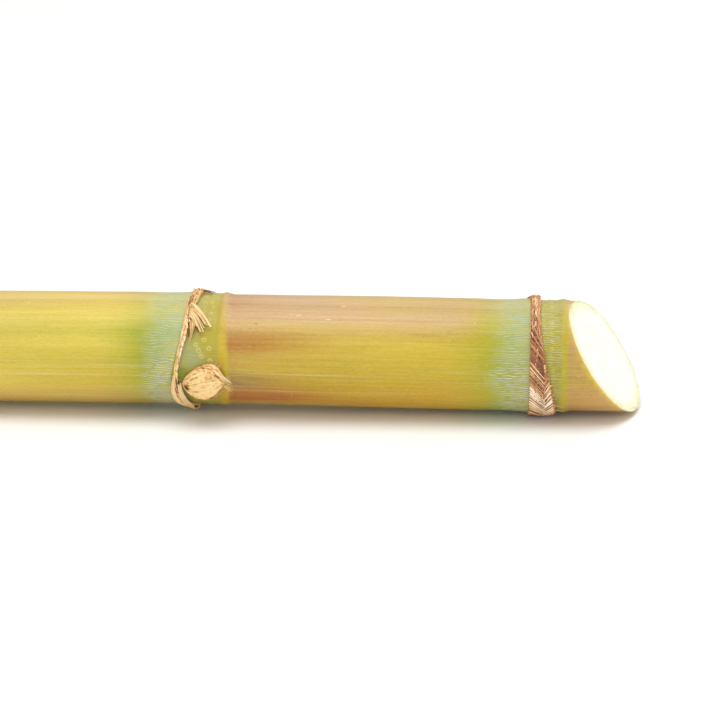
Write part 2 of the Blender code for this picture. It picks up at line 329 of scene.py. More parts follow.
    def read_back(self, points: np.ndarray) -> tuple[np.ndarray, np.ndarray]:
        """Where points of the frame lie on the cane.

        Args:
            points: The points, one row each.

        Returns:
            Their places along X, and the angles round the cane.
        """
        x = points[:, 0] - self.origin_x
        y, z = self.centre_line(x)
        return x, np.arctan2(points[:, 2] - z, y - points[:, 1])


# Meshes


def points_of(mesh: bpy.types.Mesh) -> np.ndarray:
    """A mesh's vertices, one row each."""
    found = np.empty(len(mesh.vertices) * 3)
    mesh.vertices.foreach_get("co", found)
    return found.reshape(-1, 3)


def move_points(mesh: bpy.types.Mesh, points: np.ndarray) -> None:
    """Puts a mesh's vertices at new places."""
    mesh.vertices.foreach_set("co", points.astype(np.float32).ravel())
    mesh.update()


def store(mesh: bpy.types.Mesh, name: str, values: np.ndarray) -> None:
    """Keeps one number for each vertex under a name that materials can read."""
    layer = mesh.attributes.new(name, "FLOAT", "POINT")
    layer.data.foreach_set("value", np.asarray(values, dtype=np.float32).ravel())


def store_vector(mesh: bpy.types.Mesh, name: str, vectors: np.ndarray) -> None:
    """Keeps one vector for each vertex under a name that materials can read."""
    layer = mesh.attributes.new(name, "FLOAT_VECTOR", "POINT")
    layer.data.foreach_set("vector", vectors.astype(np.float32).ravel())


def as_mesh(name: str, body: bmesh.types.BMesh, outward: bool = True) -> bpy.types.Mesh:
    """Makes a mesh of a bmesh and frees it.

    Args:
        name: The mesh's name.
        body: The bmesh.
        outward: Whether to turn its faces outwards first.

    Returns:
        The mesh.
    """
    if outward:
        bmesh.ops.recalc_face_normals(body, faces=body.faces)
    mesh = bpy.data.meshes.new(name)
    body.to_mesh(mesh)
    body.free()
    return mesh


def spun(profile: Sequence[tuple[float, float]], steps: int, closed: bool) -> bmesh.types.BMesh:
    """Spins a profile a full turn about the X axis.

    Args:
        profile: Its points, as (x, radius).
        steps: How many steps the turn has.
        closed: Whether the last point joins the first.

    Returns:
        The turned shape.
    """
    body = bmesh.new()
    corners = [body.verts.new((x, 0.0, radius)) for x, radius in profile]
    for first, second in zip(corners, corners[1:]):
        body.edges.new((first, second))
    if closed:
        body.edges.new((corners[-1], corners[0]))
    bmesh.ops.spin(
        body,
        geom=body.verts[:] + body.edges[:],
        cent=(0.0, 0.0, 0.0),
        axis=(1.0, 0.0, 0.0),
        angle=math.tau,
        steps=steps,
        use_merge=True,
    )
    return body


def noise(x: np.ndarray, y: np.ndarray, seed: int) -> np.ndarray:
    """A smooth wandering value from about -1 to 1 over a plane, of a few crossing waves.

    Args:
        x: The first coordinate, where 1 is about one hill.
        y: The second coordinate.
        seed: Which draw of waves.

    Returns:
        The value at each place.
    """
    draw = random.Random(seed)
    total = np.zeros(np.broadcast(x, y).shape)
    for _ in range(WAVES):
        heading = draw.uniform(0.0, math.tau)
        pace = draw.uniform(0.5, 1.5) * math.pi
        lag = draw.uniform(0.0, math.tau)
        total = total + np.sin(pace * (x * math.cos(heading) + y * math.sin(heading)) + lag)
    return total / math.sqrt(WAVES)


def round_noise(around: np.ndarray, along: np.ndarray, hills: int, seed: int) -> np.ndarray:
    """A wandering value that meets itself after a full turn.

    Args:
        around: The angles.
        along: A second coordinate, where 1 is about one hill.
        hills: About how many hills go round.
        seed: Which draw of waves.

    Returns:
        The value at each place, from about -1 to 1.
    """
    draw = random.Random(seed)
    total = np.zeros(np.broadcast(around, along).shape)
    for _ in range(WAVES):
        count = draw.randint(max(1, hills // 2), max(2, hills * 3 // 2))
        pace = draw.uniform(-1.0, 1.0) * math.pi
        lag = draw.uniform(0.0, math.tau)
        total = total + np.sin(count * around + pace * along + lag)
    return total / math.sqrt(WAVES)


def finished(
    name: str,
    mesh: bpy.types.Mesh,
    materials: Sequence[bpy.types.Material],
    stands_for: str,
    sharp_angle: float = 40.0,
) -> bpy.types.Object:
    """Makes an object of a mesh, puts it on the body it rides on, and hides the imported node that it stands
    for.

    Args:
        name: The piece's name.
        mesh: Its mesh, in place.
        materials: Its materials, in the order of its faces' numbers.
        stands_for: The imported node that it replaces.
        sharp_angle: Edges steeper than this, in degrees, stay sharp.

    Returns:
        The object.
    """
    mesh.name = name
    for material in materials:
        mesh.materials.append(material)
    mesh.shade_smooth()
    mesh.set_sharp_from_angle(angle=math.radians(sharp_angle))
    piece = bpy.data.objects.new(name, mesh)
    bpy.context.scene.collection.objects.link(piece)
    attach(piece, BODY)
    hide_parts(stands_for)
    LOG.info("%s: %d faces", name, len(mesh.polygons))
    return piece


# Material nodes


@dataclass
class Graph:
    """Adds nodes to a material's or a group's tree."""

    tree: bpy.types.NodeTree

    def add(self, kind: str, values: dict | None = None, **settings: object) -> bpy.types.Node:
        """Adds a node.

        Args:
            kind: The node's type.
            values: What goes into each input: a socket, or a value.
            settings: The node's own settings.

        Returns:
            The node.
        """
        node = self.tree.nodes.new(kind)
        for key, value in settings.items():
            setattr(node, key, value)
        for key, value in (values or {}).items():
            if isinstance(value, bpy.types.NodeSocket):
                self.tree.links.new(value, node.inputs[key])
            else:
                node.inputs[key].default_value = value
        return node

    def math(
        self, operation: str, first: object, second: object = 0.0, clamp: bool = False
    ) -> bpy.types.NodeSocket:
        """The result of a sum on two sockets or values."""
        node = self.add("ShaderNodeMath", {0: first, 1: second}, operation=operation, use_clamp=clamp)
        return node.outputs[0]

    def times(self, first: object, second: object) -> bpy.types.NodeSocket:
        """The first times the second."""
        return self.math("MULTIPLY", first, second)

    def plus(self, first: object, second: object, clamp: bool = False) -> bpy.types.NodeSocket:
        """The first and the second together, kept from 0 to 1 where clamped."""
        return self.math("ADD", first, second, clamp)

    def minus(self, first: object, second: object) -> bpy.types.NodeSocket:
        """The first less the second."""
        return self.math("SUBTRACT", first, second)

    def mix(self, share: object, first: object, second: object, blend: str = "MIX") -> bpy.types.NodeSocket:
        """A mix of two colours."""
        node = self.add("ShaderNodeMix", {0: share, 6: first, 7: second}, data_type="RGBA", blend_type=blend)
        return node.outputs[2]

    def step(
        self, value: object, low: object, high: object, bottom: float = 0.0, top: float = 1.0
    ) -> bpy.types.NodeSocket:
        """A smooth step of a value from one limit to another."""
        inputs = {"Value": value, "From Min": low, "From Max": high, "To Min": bottom, "To Max": top}
        return self.add("ShaderNodeMapRange", inputs, interpolation_type="SMOOTHSTEP").outputs[0]

    def mask(self, name: str) -> bpy.types.NodeSocket:
        """A number that the mesh keeps for each vertex."""
        return self.add("ShaderNodeAttribute", attribute_name=name).outputs["Fac"]

    def vector(self, name: str) -> bpy.types.NodeSocket:
        """A vector that the mesh keeps for each vertex."""
        return self.add("ShaderNodeAttribute", attribute_name=name).outputs["Vector"]

    def object_place(self) -> bpy.types.NodeSocket:
        """The place in the object."""
        return self.add("ShaderNodeTexCoord").outputs["Object"]

    def scaled(self, vector: object, scale: Sequence[float] | bpy.types.NodeSocket) -> bpy.types.NodeSocket:
        """A vector times a scale along each axis."""
        return self.add("ShaderNodeMapping", {"Vector": vector, "Scale": scale}).outputs[0]

    def noise(
        self, vector: object, scale: object, detail: float = 3.0, rough: float = 0.5, twist: float = 0.0
    ) -> bpy.types.NodeSocket:
        """A noise texture's value."""
        values = {"Vector": vector, "Scale": scale, "Detail": detail, "Roughness": rough, "Distortion": twist}
        return self.add("ShaderNodeTexNoise", values).outputs["Fac"]

    def bump(
        self, height: object, strength: float, distance: float, under: object = None
    ) -> bpy.types.NodeSocket:
        """A bumped normal.

        Args:
            height: The height over the surface.
            strength: How much it shows.
            distance: How far out a height of 1 stands.
            under: A normal to bump further.

        Returns:
            The normal.
        """
        values = {"Height": height, "Strength": strength, "Distance": distance}
        if under is not None:
            values["Normal"] = under
        return self.add("ShaderNodeBump", values).outputs["Normal"]


def new_group(
    name: str, inputs: dict[str, float], outputs: Iterable[str]
) -> tuple[Graph, dict, bpy.types.Node]:
    """Starts a shader node group of plain numbers.

    Args:
        name: The group's name.
        inputs: Its inputs and their usual values.
        outputs: Its outputs.

    Returns:
        The graph to fill, its input sockets by name, and its output node.
    """
    tree = bpy.data.node_groups.new(name, "ShaderNodeTree")
    for label, value in inputs.items():
        socket = tree.interface.new_socket(name=label, in_out="INPUT", socket_type="NodeSocketFloat")
        socket.default_value = value
    for label in outputs:
        tree.interface.new_socket(name=label, in_out="OUTPUT", socket_type="NodeSocketFloat")
    entry = tree.nodes.new("NodeGroupInput")
    leave = tree.nodes.new("NodeGroupOutput")
    return Graph(tree), {label: entry.outputs[label] for label in inputs}, leave


@dataclass
class Effects:
    """The shader node groups that more than one material uses."""

    streaks: bpy.types.NodeTree = field(init=False)
    wrinkles: bpy.types.NodeTree = field(init=False)
    fibres: bpy.types.NodeTree = field(init=False)

    def __post_init__(self) -> None:
        """Builds each group once."""
        self.streaks = self._streaks()
        self.wrinkles = self._wrinkles()
        self.fibres = self._fibres()

    def _streaks(self) -> bpy.types.NodeTree:
        """Fine lines along the cane.

        Returns:
            A group with Across and Lengthwise lines per metre, and Low and High limits, that gives a Mask.
        """
        inputs = {"Across": 900.0, "Lengthwise": 18.0, "Low": 0.4, "High": 0.7}
        graph, given, leave = new_group("long_streaks", inputs, ["Mask"])
        scale = graph.add(
            "ShaderNodeCombineXYZ", {"X": given["Lengthwise"], "Y": given["Across"], "Z": given["Across"]}
        ).outputs[0]
        value = graph.noise(graph.scaled(graph.vector("straight"), scale), 1.0, 2.0, 0.55, 0.15)
        step = graph.step(value, given["Low"], given["High"])
        graph.tree.links.new(step, leave.inputs["Mask"])
        return graph.tree

    def _wrinkles(self) -> bpy.types.NodeTree:
        """Fine wavy crests that run along the cane, break off and join.

        Returns:
            A group with the Lines round the cane, and how far they Waver, that gives the crests' Height.
        """
        graph, given, leave = new_group("wavy_wrinkles", {"Lines": 144.0, "Waver": 11.0}, ["Height"])
        place = graph.vector("straight")
        parts = graph.add("ShaderNodeSeparateXYZ", {0: place})
        around = graph.math("ARCTAN2", parts.outputs["Z"], parts.outputs["Y"])
        drift = graph.noise(graph.scaled(place, (240.0, 300.0, 300.0)), 1.0, 2.0, 0.5)
        drift = graph.times(graph.minus(drift, 0.5), given["Waver"])
        slow = graph.noise(graph.scaled(place, (70.0, 150.0, 150.0)), 1.0, 1.0, 0.5)
        slow = graph.times(graph.minus(slow, 0.5), given["Waver"])
        phase = graph.plus(graph.times(around, given["Lines"]), drift)
        wave = graph.math("SINE", graph.plus(phase, graph.times(slow, 2.0)))
        broken = graph.noise(graph.scaled(place, (260.0, 700.0, 700.0)), 1.0, 2.0, 0.6)
        crest = graph.step(wave, 0.2, 1.0)
        height = graph.times(crest, graph.step(broken, 0.33, 0.50))
        graph.tree.links.new(height, leave.inputs["Height"])
        return graph.tree

    def _fibres(self) -> bpy.types.NodeTree:
        """The grain of dry sheath and scales.

        Returns:
            A group with a Pitch per metre that gives a Shade and a Height.
        """
        graph, given, leave = new_group("dry_fibres", {"Pitch": 900.0}, ["Shade", "Height"])
        place = graph.vector("grain")
        fine = graph.noise(graph.scaled(place, (0.12, 1.0, 1.0)), given["Pitch"], 2.0, 0.6)
        blotch = graph.noise(graph.object_place(), 420.0, 3.0, 0.6)
        shade = graph.plus(graph.times(fine, 0.65), graph.times(blotch, 0.35))
        graph.tree.links.new(shade, leave.inputs["Shade"])
        graph.tree.links.new(fine, leave.inputs["Height"])
        return graph.tree


@dataclass(frozen=True)
class Finish:
    """What every finish has: a name, a roughness and a clear coat."""

    name: str
    roughness: float
    coat: float = 0.0

    def begin(self) -> tuple[Graph, bpy.types.Node]:
        """Starts the material.

        Returns:
            Its graph, and its shader with the values that are the same all over.
        """
        material = bpy.data.materials.new(self.name)
        material.use_nodes = True
        shader = material.node_tree.nodes["Principled BSDF"]
        shader.inputs["Roughness"].default_value = self.roughness
        shader.inputs["Coat Weight"].default_value = self.coat
        return Graph(material.node_tree), shader

    def end(
        self, graph: Graph, shader: bpy.types.Node, links: dict[str, bpy.types.NodeSocket]
    ) -> bpy.types.Material:
        """Links what changes over the surface.

        Args:
            graph: The material's graph.
            shader: Its shader.
            links: What feeds each of the shader's sockets.

        Returns:
            The material.
        """
        for label, socket in links.items():
            graph.tree.links.new(socket, shader.inputs[label])
        return bpy.data.materials[self.name]


@dataclass(frozen=True)
class RindFinish(Finish):
    """Waxy rind: golden green, bloomed below each node, russet above it, mauve on its sunned side."""

    yellow: Colour = (0.55, 0.395, 0.008, 1.0)
    pale_yellow: Colour = (0.80, 0.63, 0.08, 1.0)
    green: Colour = (0.37, 0.395, 0.006, 1.0)
    gold: Colour = (0.62, 0.36, 0.012, 1.0)
    mauve: Colour = (0.60, 0.375, 0.18, 1.0)
    russet: Colour = (0.43, 0.145, 0.012, 1.0)
    band: Colour = (0.43, 0.345, 0.010, 1.0)
    ring: Colour = (0.50, 0.325, 0.002, 1.0)
    dark: Colour = (0.20, 0.24, 0.008, 1.0)
    # Painted light: the golden glowing of light through the rind beside each cut.
    glow: Colour = (0.84, 0.56, 0.05, 1.0)
    stud: Colour = (0.72, 0.64, 0.24, 1.0)
    film: Colour = (0.33, 0.43, 0.225, 1.0)
    wax: Colour = (0.76, 0.82, 0.70, 1.0)
    grey: Colour = (0.25, 0.18, 0.075, 1.0)
    scratch: Colour = (0.88, 0.76, 0.46, 1.0)
    grain: Colour = (0.62, 0.54, 0.36, 1.0)
    rust: Colour = (0.22, 0.09, 0.02, 1.0)

    def make(self, effects: Effects) -> bpy.types.Material:
        """Builds the material.

        Args:
            effects: The shared node groups.

        Returns:
            The material.
        """
        graph, shader = self.begin()
        shader.inputs["IOR"].default_value = 1.42
        place = graph.vector("straight")
        patches = graph.noise(graph.scaled(place, (9.0, 45.0, 45.0)), 1.0, 1.0, 0.5)
        drift = graph.noise(graph.scaled(place, (5.0, 300.0, 300.0)), 1.0, 3.0, 0.6)
        mottle = graph.noise(graph.scaled(place, (150.0, 620.0, 620.0)), 1.0, 4.0, 0.65)
        fine = self._streaks(graph, effects, 2600.0, 70.0, 0.3, 0.75)
        coarse = self._streaks(graph, effects, 1300.0, 7.0, 0.38, 0.72)
        pale = self._streaks(graph, effects, 1500.0, 14.0, 0.52, 0.70)

        light = graph.plus(graph.step(patches, 0.3, 0.7, -0.3, 0.3), graph.mask("light"), clamp=True)
        colour = graph.mix(light, self.yellow, self.pale_yellow)
        for name, share in (("gold", 0.18), ("green", 0.14), ("mauve", 0.22), ("russet", 0.35)):
            colour = graph.mix(self._worn(graph, name, drift, share), colour, getattr(self, name))
        colour = graph.mix(graph.times(graph.mask("grey"), 0.85), colour, self.grey)
        lined = graph.plus(graph.times(graph.mask("lined"), 0.7), 0.08)
        colour = graph.mix(graph.times(pale, lined), colour, self.scratch)
        worn = graph.times(graph.plus(fine, coarse), 0.12)
        colour = graph.mix(worn, colour, graph.mix(1.0, colour, self.grain, "MULTIPLY"))
        for stretch, strength in ((60.0, 0.05), (700.0, 0.06)):
            specks = graph.noise(graph.scaled(place, (stretch, 2200.0, 2200.0)), 1.0, 2.0, 0.6)
            speckle = graph.math("ABSOLUTE", graph.step(specks, 0.35, 0.7, -strength, strength))
            speck = graph.mix(graph.step(specks, 0.5, 0.52), self.rust, self.scratch)
            colour = graph.mix(speckle, colour, speck)
        colour = graph.mix(graph.mask("band"), colour, self.band)
        colour = graph.mix(self._worn(graph, "ring", mottle, 0.3), colour, self.ring)
        # Painted shade at each bud's foot, and the upper node's darker root band.
        colour = graph.mix(graph.mask("dark"), colour, self.dark)

        crest = graph.add("ShaderNodeGroup", node_tree=effects.wrinkles).outputs["Height"]
        wax = graph.mask("wax")
        thinned = graph.step(graph.mask("wrinkle"), 0.2, 1.0, 1.0, 0.62)
        film = graph.times(wax, graph.step(mottle, 0.3, 0.7, 0.45, 0.9))
        film = graph.times(film, thinned)
        colour = graph.mix(film, colour, self.film)
        ridges = graph.times(graph.mask("wrinkle"), crest)
        colour = graph.mix(graph.times(ridges, 0.92), colour, self.wax)
        colour = graph.mix(self._root_buds(graph), colour, self.stud)
        # Painted light: the rind beside each cut is painted golden, as if glowing with light.
        colour = graph.mix(graph.times(graph.mask("glow"), 0.8), colour, self.glow)

        off_band = graph.step(graph.mask("band"), 0.0, 0.3, 1.0, 0.0)
        marks = graph.times(self._marks(graph), off_band)
        colour = graph.mix(graph.times(marks, 0.55), colour, self.scratch)
        rust = graph.times(graph.step(graph.noise(place, 900.0, 2.0, 0.6), 0.70, 0.77), 0.6)
        colour = graph.mix(rust, colour, self.rust)

        rough = graph.plus(self.roughness, graph.times(film, 0.2))
        rough = graph.plus(rough, graph.times(worn, 0.2))
        bumped = graph.bump(ridges, 0.9, 0.16 * MM)
        bumped = graph.bump(graph.plus(fine, coarse), 0.3, 0.03 * MM, bumped)
        return self.end(graph, shader, {"Base Color": colour, "Roughness": rough, "Normal": bumped})

    @staticmethod
    def _streaks(
        graph: Graph, effects: Effects, across: float, lengthwise: float, low: float, high: float
    ) -> bpy.types.NodeSocket:
        """Places the shared streaks with their own values."""
        values = {"Across": across, "Lengthwise": lengthwise, "Low": low, "High": high}
        return graph.add("ShaderNodeGroup", node_tree=effects.streaks, values=values).outputs["Mask"]

    @staticmethod
    def _worn(graph: Graph, name: str, drift: bpy.types.NodeSocket, share: float) -> bpy.types.NodeSocket:
        """A mask of the mesh, broken up along the cane."""
        offset = graph.times(graph.minus(drift, 0.5), share * 2.0)
        mask = graph.mask(name)
        shaken = graph.times(offset, graph.step(mask, 0.0, 0.3))
        return graph.plus(mask, shaken, clamp=True)

    @staticmethod
    def _root_buds(graph: Graph) -> bpy.types.NodeSocket:
        """The pale ring round each root bud, and the dot in it."""
        place = graph.vector("stud_place")
        reach = graph.add("ShaderNodeVectorMath", {0: place}, operation="LENGTH").outputs["Value"]
        ragged = graph.noise(graph.vector("straight"), 1500.0, 2.0, 0.6)
        reach = graph.plus(reach, graph.times(graph.minus(ragged, 0.5), 0.6))
        outer = graph.step(graph.math("ABSOLUTE", graph.minus(reach, 0.82)), 0.06, 0.34, 1.0, 0.0)
        dot = graph.times(graph.step(reach, 0.05, 0.3, 1.0, 0.0), 0.7)
        return graph.times(graph.math("MAXIMUM", outer, dot), graph.mask("stud"))

    @staticmethod
    def _marks(graph: Graph) -> bpy.types.NodeSocket:
        """A few short pale scratches and scuffs."""
        place = graph.vector("straight")
        long_ones = graph.noise(graph.scaled(place, (220.0, 1500.0, 1500.0)), 1.0, 1.0, 0.5, 0.8)
        cross = graph.noise(graph.scaled(place, (1900.0, 230.0, 230.0)), 1.0, 1.0, 0.5, 0.8)
        where = graph.step(graph.noise(place, 55.0, 1.0, 0.5), 0.48, 0.6)
        found = graph.math("MAXIMUM", graph.step(long_ones, 0.77, 0.81), graph.step(cross, 0.78, 0.81))
        return graph.times(found, where)


@dataclass(frozen=True)
class CutFinish(Finish):
    """Cut flesh: cream white and moist, dotted with fibre bundles, yellower towards the rind."""

    cream: Colour = (0.95, 0.94, 0.83, 1.0)
    white: Colour = (0.98, 0.985, 0.95, 1.0)
    yellow: Colour = (0.90, 0.86, 0.52, 1.0)
    bundle: Colour = (0.82, 0.77, 0.48, 1.0)

    def make(self) -> bpy.types.Material:
        """Builds the material."""
        graph, shader = self.begin()
        place = graph.vector("grain")
        rim = graph.mask("rim")
        cells = graph.add("ShaderNodeTexVoronoi", {"Vector": place, "Scale": 900.0, "Randomness": 0.9})
        dot = graph.step(cells.outputs["Distance"], 0.16, 0.36, 1.0, 0.0)
        fuzz = graph.noise(graph.scaled(place, (1.0, 0.35, 1.0)), 1800.0, 3.0, 0.6)
        blotch = graph.noise(place, 260.0, 3.0, 0.6)
        colour = graph.mix(graph.step(blotch, 0.35, 0.65), self.cream, self.white)
        near_rim = graph.step(rim, 0.80, 1.0)
        colour = graph.mix(graph.times(near_rim, 0.75), colour, self.yellow)
        dots = graph.times(dot, graph.plus(graph.times(near_rim, 0.4), 0.22))
        colour = graph.mix(dots, colour, self.bundle)
        colour = graph.mix(graph.times(fuzz, 0.12), colour, self.cream)
        rough = graph.plus(graph.times(fuzz, 0.25), self.roughness)
        bumped = graph.bump(graph.plus(dot, fuzz), 0.5, 0.08 * MM)
        return self.end(graph, shader, {"Base Color": colour, "Roughness": rough, "Normal": bumped})


@dataclass(frozen=True)
class RimFinish(Finish):
    """The rind's own cut edge: a thin cream line, yellower in places."""

    pale: Colour = (0.90, 0.88, 0.58, 1.0)
    deep: Colour = (0.74, 0.71, 0.30, 1.0)

    def make(self) -> bpy.types.Material:
        """Builds the material."""
        graph, shader = self.begin()
        mottle = graph.noise(graph.object_place(), 900.0, 3.0, 0.6)
        colour = graph.mix(graph.step(mottle, 0.35, 0.7), self.pale, self.deep)
        bumped = graph.bump(mottle, 0.4, 0.05 * MM)
        return self.end(graph, shader, {"Base Color": colour, "Normal": bumped})


@dataclass(frozen=True)
class DryFinish(Finish):
    """Dry sheath or scale: fibrous and matt, from a dark tone to a light one, with painted shade in its folds
    and painted highlights on its crests.
    """

    dark: Colour = (0.10, 0.035, 0.010, 1.0)
    body: Colour = (0.62, 0.34, 0.11, 1.0)
    light: Colour = (0.98, 0.71, 0.35, 1.0)
    bleached_and_highlight: Colour = (0.98, 0.92, 0.78, 1.0)
    speck: Colour = (0.16, 0.05, 0.02, 1.0)
    pitch: float = 900.0
    relief: float = 0.08 * MM
    specks: float = 0.35

    def make(self, effects: Effects) -> bpy.types.Material:
        """Builds the material.

        Args:
            effects: The shared node groups.

        Returns:
            The material.
        """
        graph, shader = self.begin()
        fibres = graph.add("ShaderNodeGroup", node_tree=effects.fibres, values={"Pitch": self.pitch})
        tone = graph.mask("tone")
        shaken = graph.minus(fibres.outputs["Shade"], 0.5)
        tone = graph.plus(tone, graph.times(shaken, 1.2), clamp=True)
        colour = graph.mix(graph.step(tone, 0.0, 0.5), self.dark, self.body)
        colour = graph.mix(graph.step(tone, 0.42, 0.95), colour, self.light)
        # The lightest tones turn cream-white: real pale fibres and hairs, and painted highlights on the
        # pleats' crests.
        colour = graph.mix(graph.step(graph.mask("tone"), 1.12, 1.25), colour, self.bleached_and_highlight)
        spots = graph.noise(graph.object_place(), 1500.0, 2.0, 0.6)
        spots = graph.times(graph.step(spots, 0.62, 0.7), self.specks)
        colour = graph.mix(spots, colour, self.speck)
        bumped = graph.bump(fibres.outputs["Height"], 0.7, self.relief)
        return self.end(graph, shader, {"Base Color": colour, "Normal": bumped})


# The cane


class Cut(Enum):
    """The two cut ends, each with the way that its face looks."""

    LOWER = (-1.0, -0.16, 0.34)
    UPPER = (1.0, -0.28, 0.61)

    @property
    def facing(self) -> Vector:
        """The face's unit normal."""
        return Vector(self.value).normalized()


@dataclass
class Cane:
    """The rind with its rings and root buds, and the flesh that shows at both cuts."""

    form: CaneForm
    sides: int = 252
    coarse_step: float = 2.0 * MM
    fine_step: float = 0.2 * MM
    fine_margin: float = 2.6 * MM
    cut_reach: float = 14.0 * MM
    cut_snap: float = 0.02 * MM
    stud_rows: tuple[float, ...] = (3.3, 5.6)
    stud_pitch: float = 2.3 * MM
    stud_size: float = 0.66 * MM
    stud_height: float = 0.20 * MM
    free_of_bud: float = math.radians(26.0)
    seen_studs: tuple[tuple[float, float], ...] = (
        (3.3, 27.1),
        (0.7, 22.0),
        (1.6, 15.9),
        (4.9, 18.3),
        (2.6, 10.0),
        (5.2, 5.7),
    )
    seen_studs_arc: tuple[float, float] = (math.radians(-2.0), math.radians(36.0))
    rind_edge: float = 0.75 * MM
    flesh_rings: int = 60
    flesh_sides: int = 180

    def build(self, finishes: dict[str, bpy.types.Material]) -> None:
        """Builds the cane's pieces.

        Args:
            finishes: The materials by name.
        """
        self._rind(finishes["rind"], finishes["rim"])
        for cut in Cut:
            self._flesh(cut, finishes["flesh"])

    def _stations(self) -> list[float]:
        """Where the rings of the rind's mesh are: close together at the nodes, further apart between them."""
        stations = [self.form.lower_end - self.cut_reach]
        end = self.form.upper_end + self.cut_reach
        while stations[-1] < end:
            here = stations[-1]
            fine = any(
                -self.fine_margin < here - node.scar < node.root_band + self.fine_margin
                for node in self.form.nodes
            )
            stations.append(here + (self.fine_step if fine else self.coarse_step))
        return stations

    def _end_at(self, cut: Cut) -> float:
        """Where a cut crosses the centre line."""
        return self.form.upper_end if cut is Cut.UPPER else self.form.lower_end

    def _cut_point(self, cut: Cut) -> Vector:
        """The point of the centre line that a cut goes through, in the frame."""
        return Vector(self.form.place(np.array(self._end_at(cut)), np.array(0.0), np.array(0.0)))

    def _studs(self, node: CaneNode) -> list[tuple[float, float, float, float]]:
        """A node's root buds, in staggered rows clear of its bud. Those that show best have their own places.

        Args:
            node: The node.

        Returns:
            Each root bud's (along, around, size, strength).
        """
        draw = random.Random(f"studs {node.name}")
        found = []
        stretch = node.root_band / self.form.usual_root_band
        middle = node is self.form.nodes[1]
        for row, distance in enumerate(self.stud_rows):
            around = self.free_of_bud + 0.5 * (row % 2) * self.stud_pitch / self.form.radius
            while around < math.tau - self.free_of_bud:
                along = node.scar + (distance + draw.uniform(-0.4, 0.4)) * MM * stretch
                size = self.stud_size * draw.uniform(0.8, 1.15)
                strength = draw.uniform(0.15, 0.6)
                side = float(wrapped(np.array(around + node.bud_angle)))
                if not (middle and self.seen_studs_arc[0] < side < self.seen_studs_arc[1]):
                    found.append((along, side, size, strength))
                around += self.stud_pitch * draw.uniform(0.8, 1.25) / self.form.radius
        if middle:
            for x, degrees in self.seen_studs:
                side = math.radians(degrees)
                along = float(self.form.straightened(np.array(x * MM), np.array(side)))
                found.append((along, side, self.stud_size * 1.1, 0.7))
        return found

    def _stud_relief(
        self, along: np.ndarray, around: np.ndarray
    ) -> tuple[np.ndarray, np.ndarray, np.ndarray]:
        """How far the root buds stand out, and where each place lies on the root bud next to it.

        Args:
            along: Places along the straight cane.
            around: The angles round it.

        Returns:
            The heights, the places on the root buds (1 is a bud's edge), and how much each bud shows.
        """
        height = np.zeros_like(along)
        place = np.zeros((len(along), 3))
        nearest = np.full_like(along, 9.0)
        shown = np.zeros_like(along)
        for node in self.form.nodes:
            near = np.flatnonzero((along > node.scar) & (along < node.scar + node.root_band))
            x = self.form.slide(along[near], around[near])
            for stud_along, stud_around, size, strength in self._studs(node):
                stud_x = float(self.form.slide(np.array(stud_along), np.array(stud_around)))
                forward = (x - stud_x) / size
                aside = self.form.radius * wrapped(around[near] - stud_around) / size
                reach = np.hypot(forward, aside)
                close = (reach < 2.6) & (reach < nearest[near])
                where = near[close]
                dome = self.stud_height * (bell(reach[close], 0.95) - 0.45 * bell(reach[close], 0.32))
                height[where] = np.maximum(height[where], dome)
                nearest[where] = reach[close]
                place[where] = np.stack((forward[close], aside[close], 0.0 * aside[close]), axis=-1)
                shown[where] = strength * smooth((1.5 - reach[close]) / 0.25)
        return height, place, shown

    def _rind(self, rind: bpy.types.Material, rim: bpy.types.Material) -> None:
        """Builds the rind, with its two cuts closed by the rind's cut edge."""
        form = self.form
        body = spun([(x, 1.0) for x in self._stations()], self.sides, closed=False)
        mesh = as_mesh("cane_rind", body, outward=False)
        points = points_of(mesh)
        along = points[:, 0]
        around = np.arctan2(points[:, 2], -points[:, 1])
        studs, _, _ = self._stud_relief(along, around)
        x = form.slide(along, around)
        radius = form.radius + np.interp(along, form.table_along, form.table_height)
        radius = radius - form.furrow(x, around) + studs + self._unevenness(along, around)
        move_points(mesh, form.place(x, around, radius))
        body = bmesh.new()
        body.from_mesh(mesh)
        bpy.data.meshes.remove(mesh)
        for cut in Cut:
            self._cut_off(body, cut)
        mesh = as_mesh("cane_rind", body)
        self._colour_masks(mesh)
        finished("cane_rind", mesh, (rind, rim), "cane")

    def _unevenness(self, along: np.ndarray, around: np.ndarray) -> np.ndarray:
        """The slight waves of a grown surface, none near the scars where the stubs sit."""
        waves = 0.07 * MM * round_noise(around, along / (24.0 * MM), 3, 5)
        grooves = 0.025 * MM * round_noise(around, along / (60.0 * MM), 40, 6)
        away = np.ones_like(along)
        for node in self.form.nodes:
            away = away * (1.0 - bell(along - node.scar, 7.0 * MM))
        return (waves + grooves) * away

    def _cut_off(self, body: bmesh.types.BMesh, cut: Cut) -> None:
        """Cuts everything past a plane away, and closes the cut with a face of the rind's edge."""
        centre = self._cut_point(cut)
        everything = body.verts[:] + body.edges[:] + body.faces[:]
        bmesh.ops.bisect_plane(
            body, geom=everything, dist=self.cut_snap, plane_co=centre, plane_no=cut.facing, clear_outer=True
        )
        rim = [edge for edge in body.edges if edge.is_boundary and self._on_cut(edge, centre, cut)]
        made = bmesh.ops.contextual_create(body, geom=rim)
        for face in made["faces"]:
            face.material_index = 1

    def _on_cut(self, edge: bmesh.types.BMEdge, centre: Vector, cut: Cut) -> bool:
        """Whether both ends of an edge lie on a cut."""
        return all(abs((vertex.co - centre).dot(cut.facing)) < 2.0 * self.cut_snap for vertex in edge.verts)

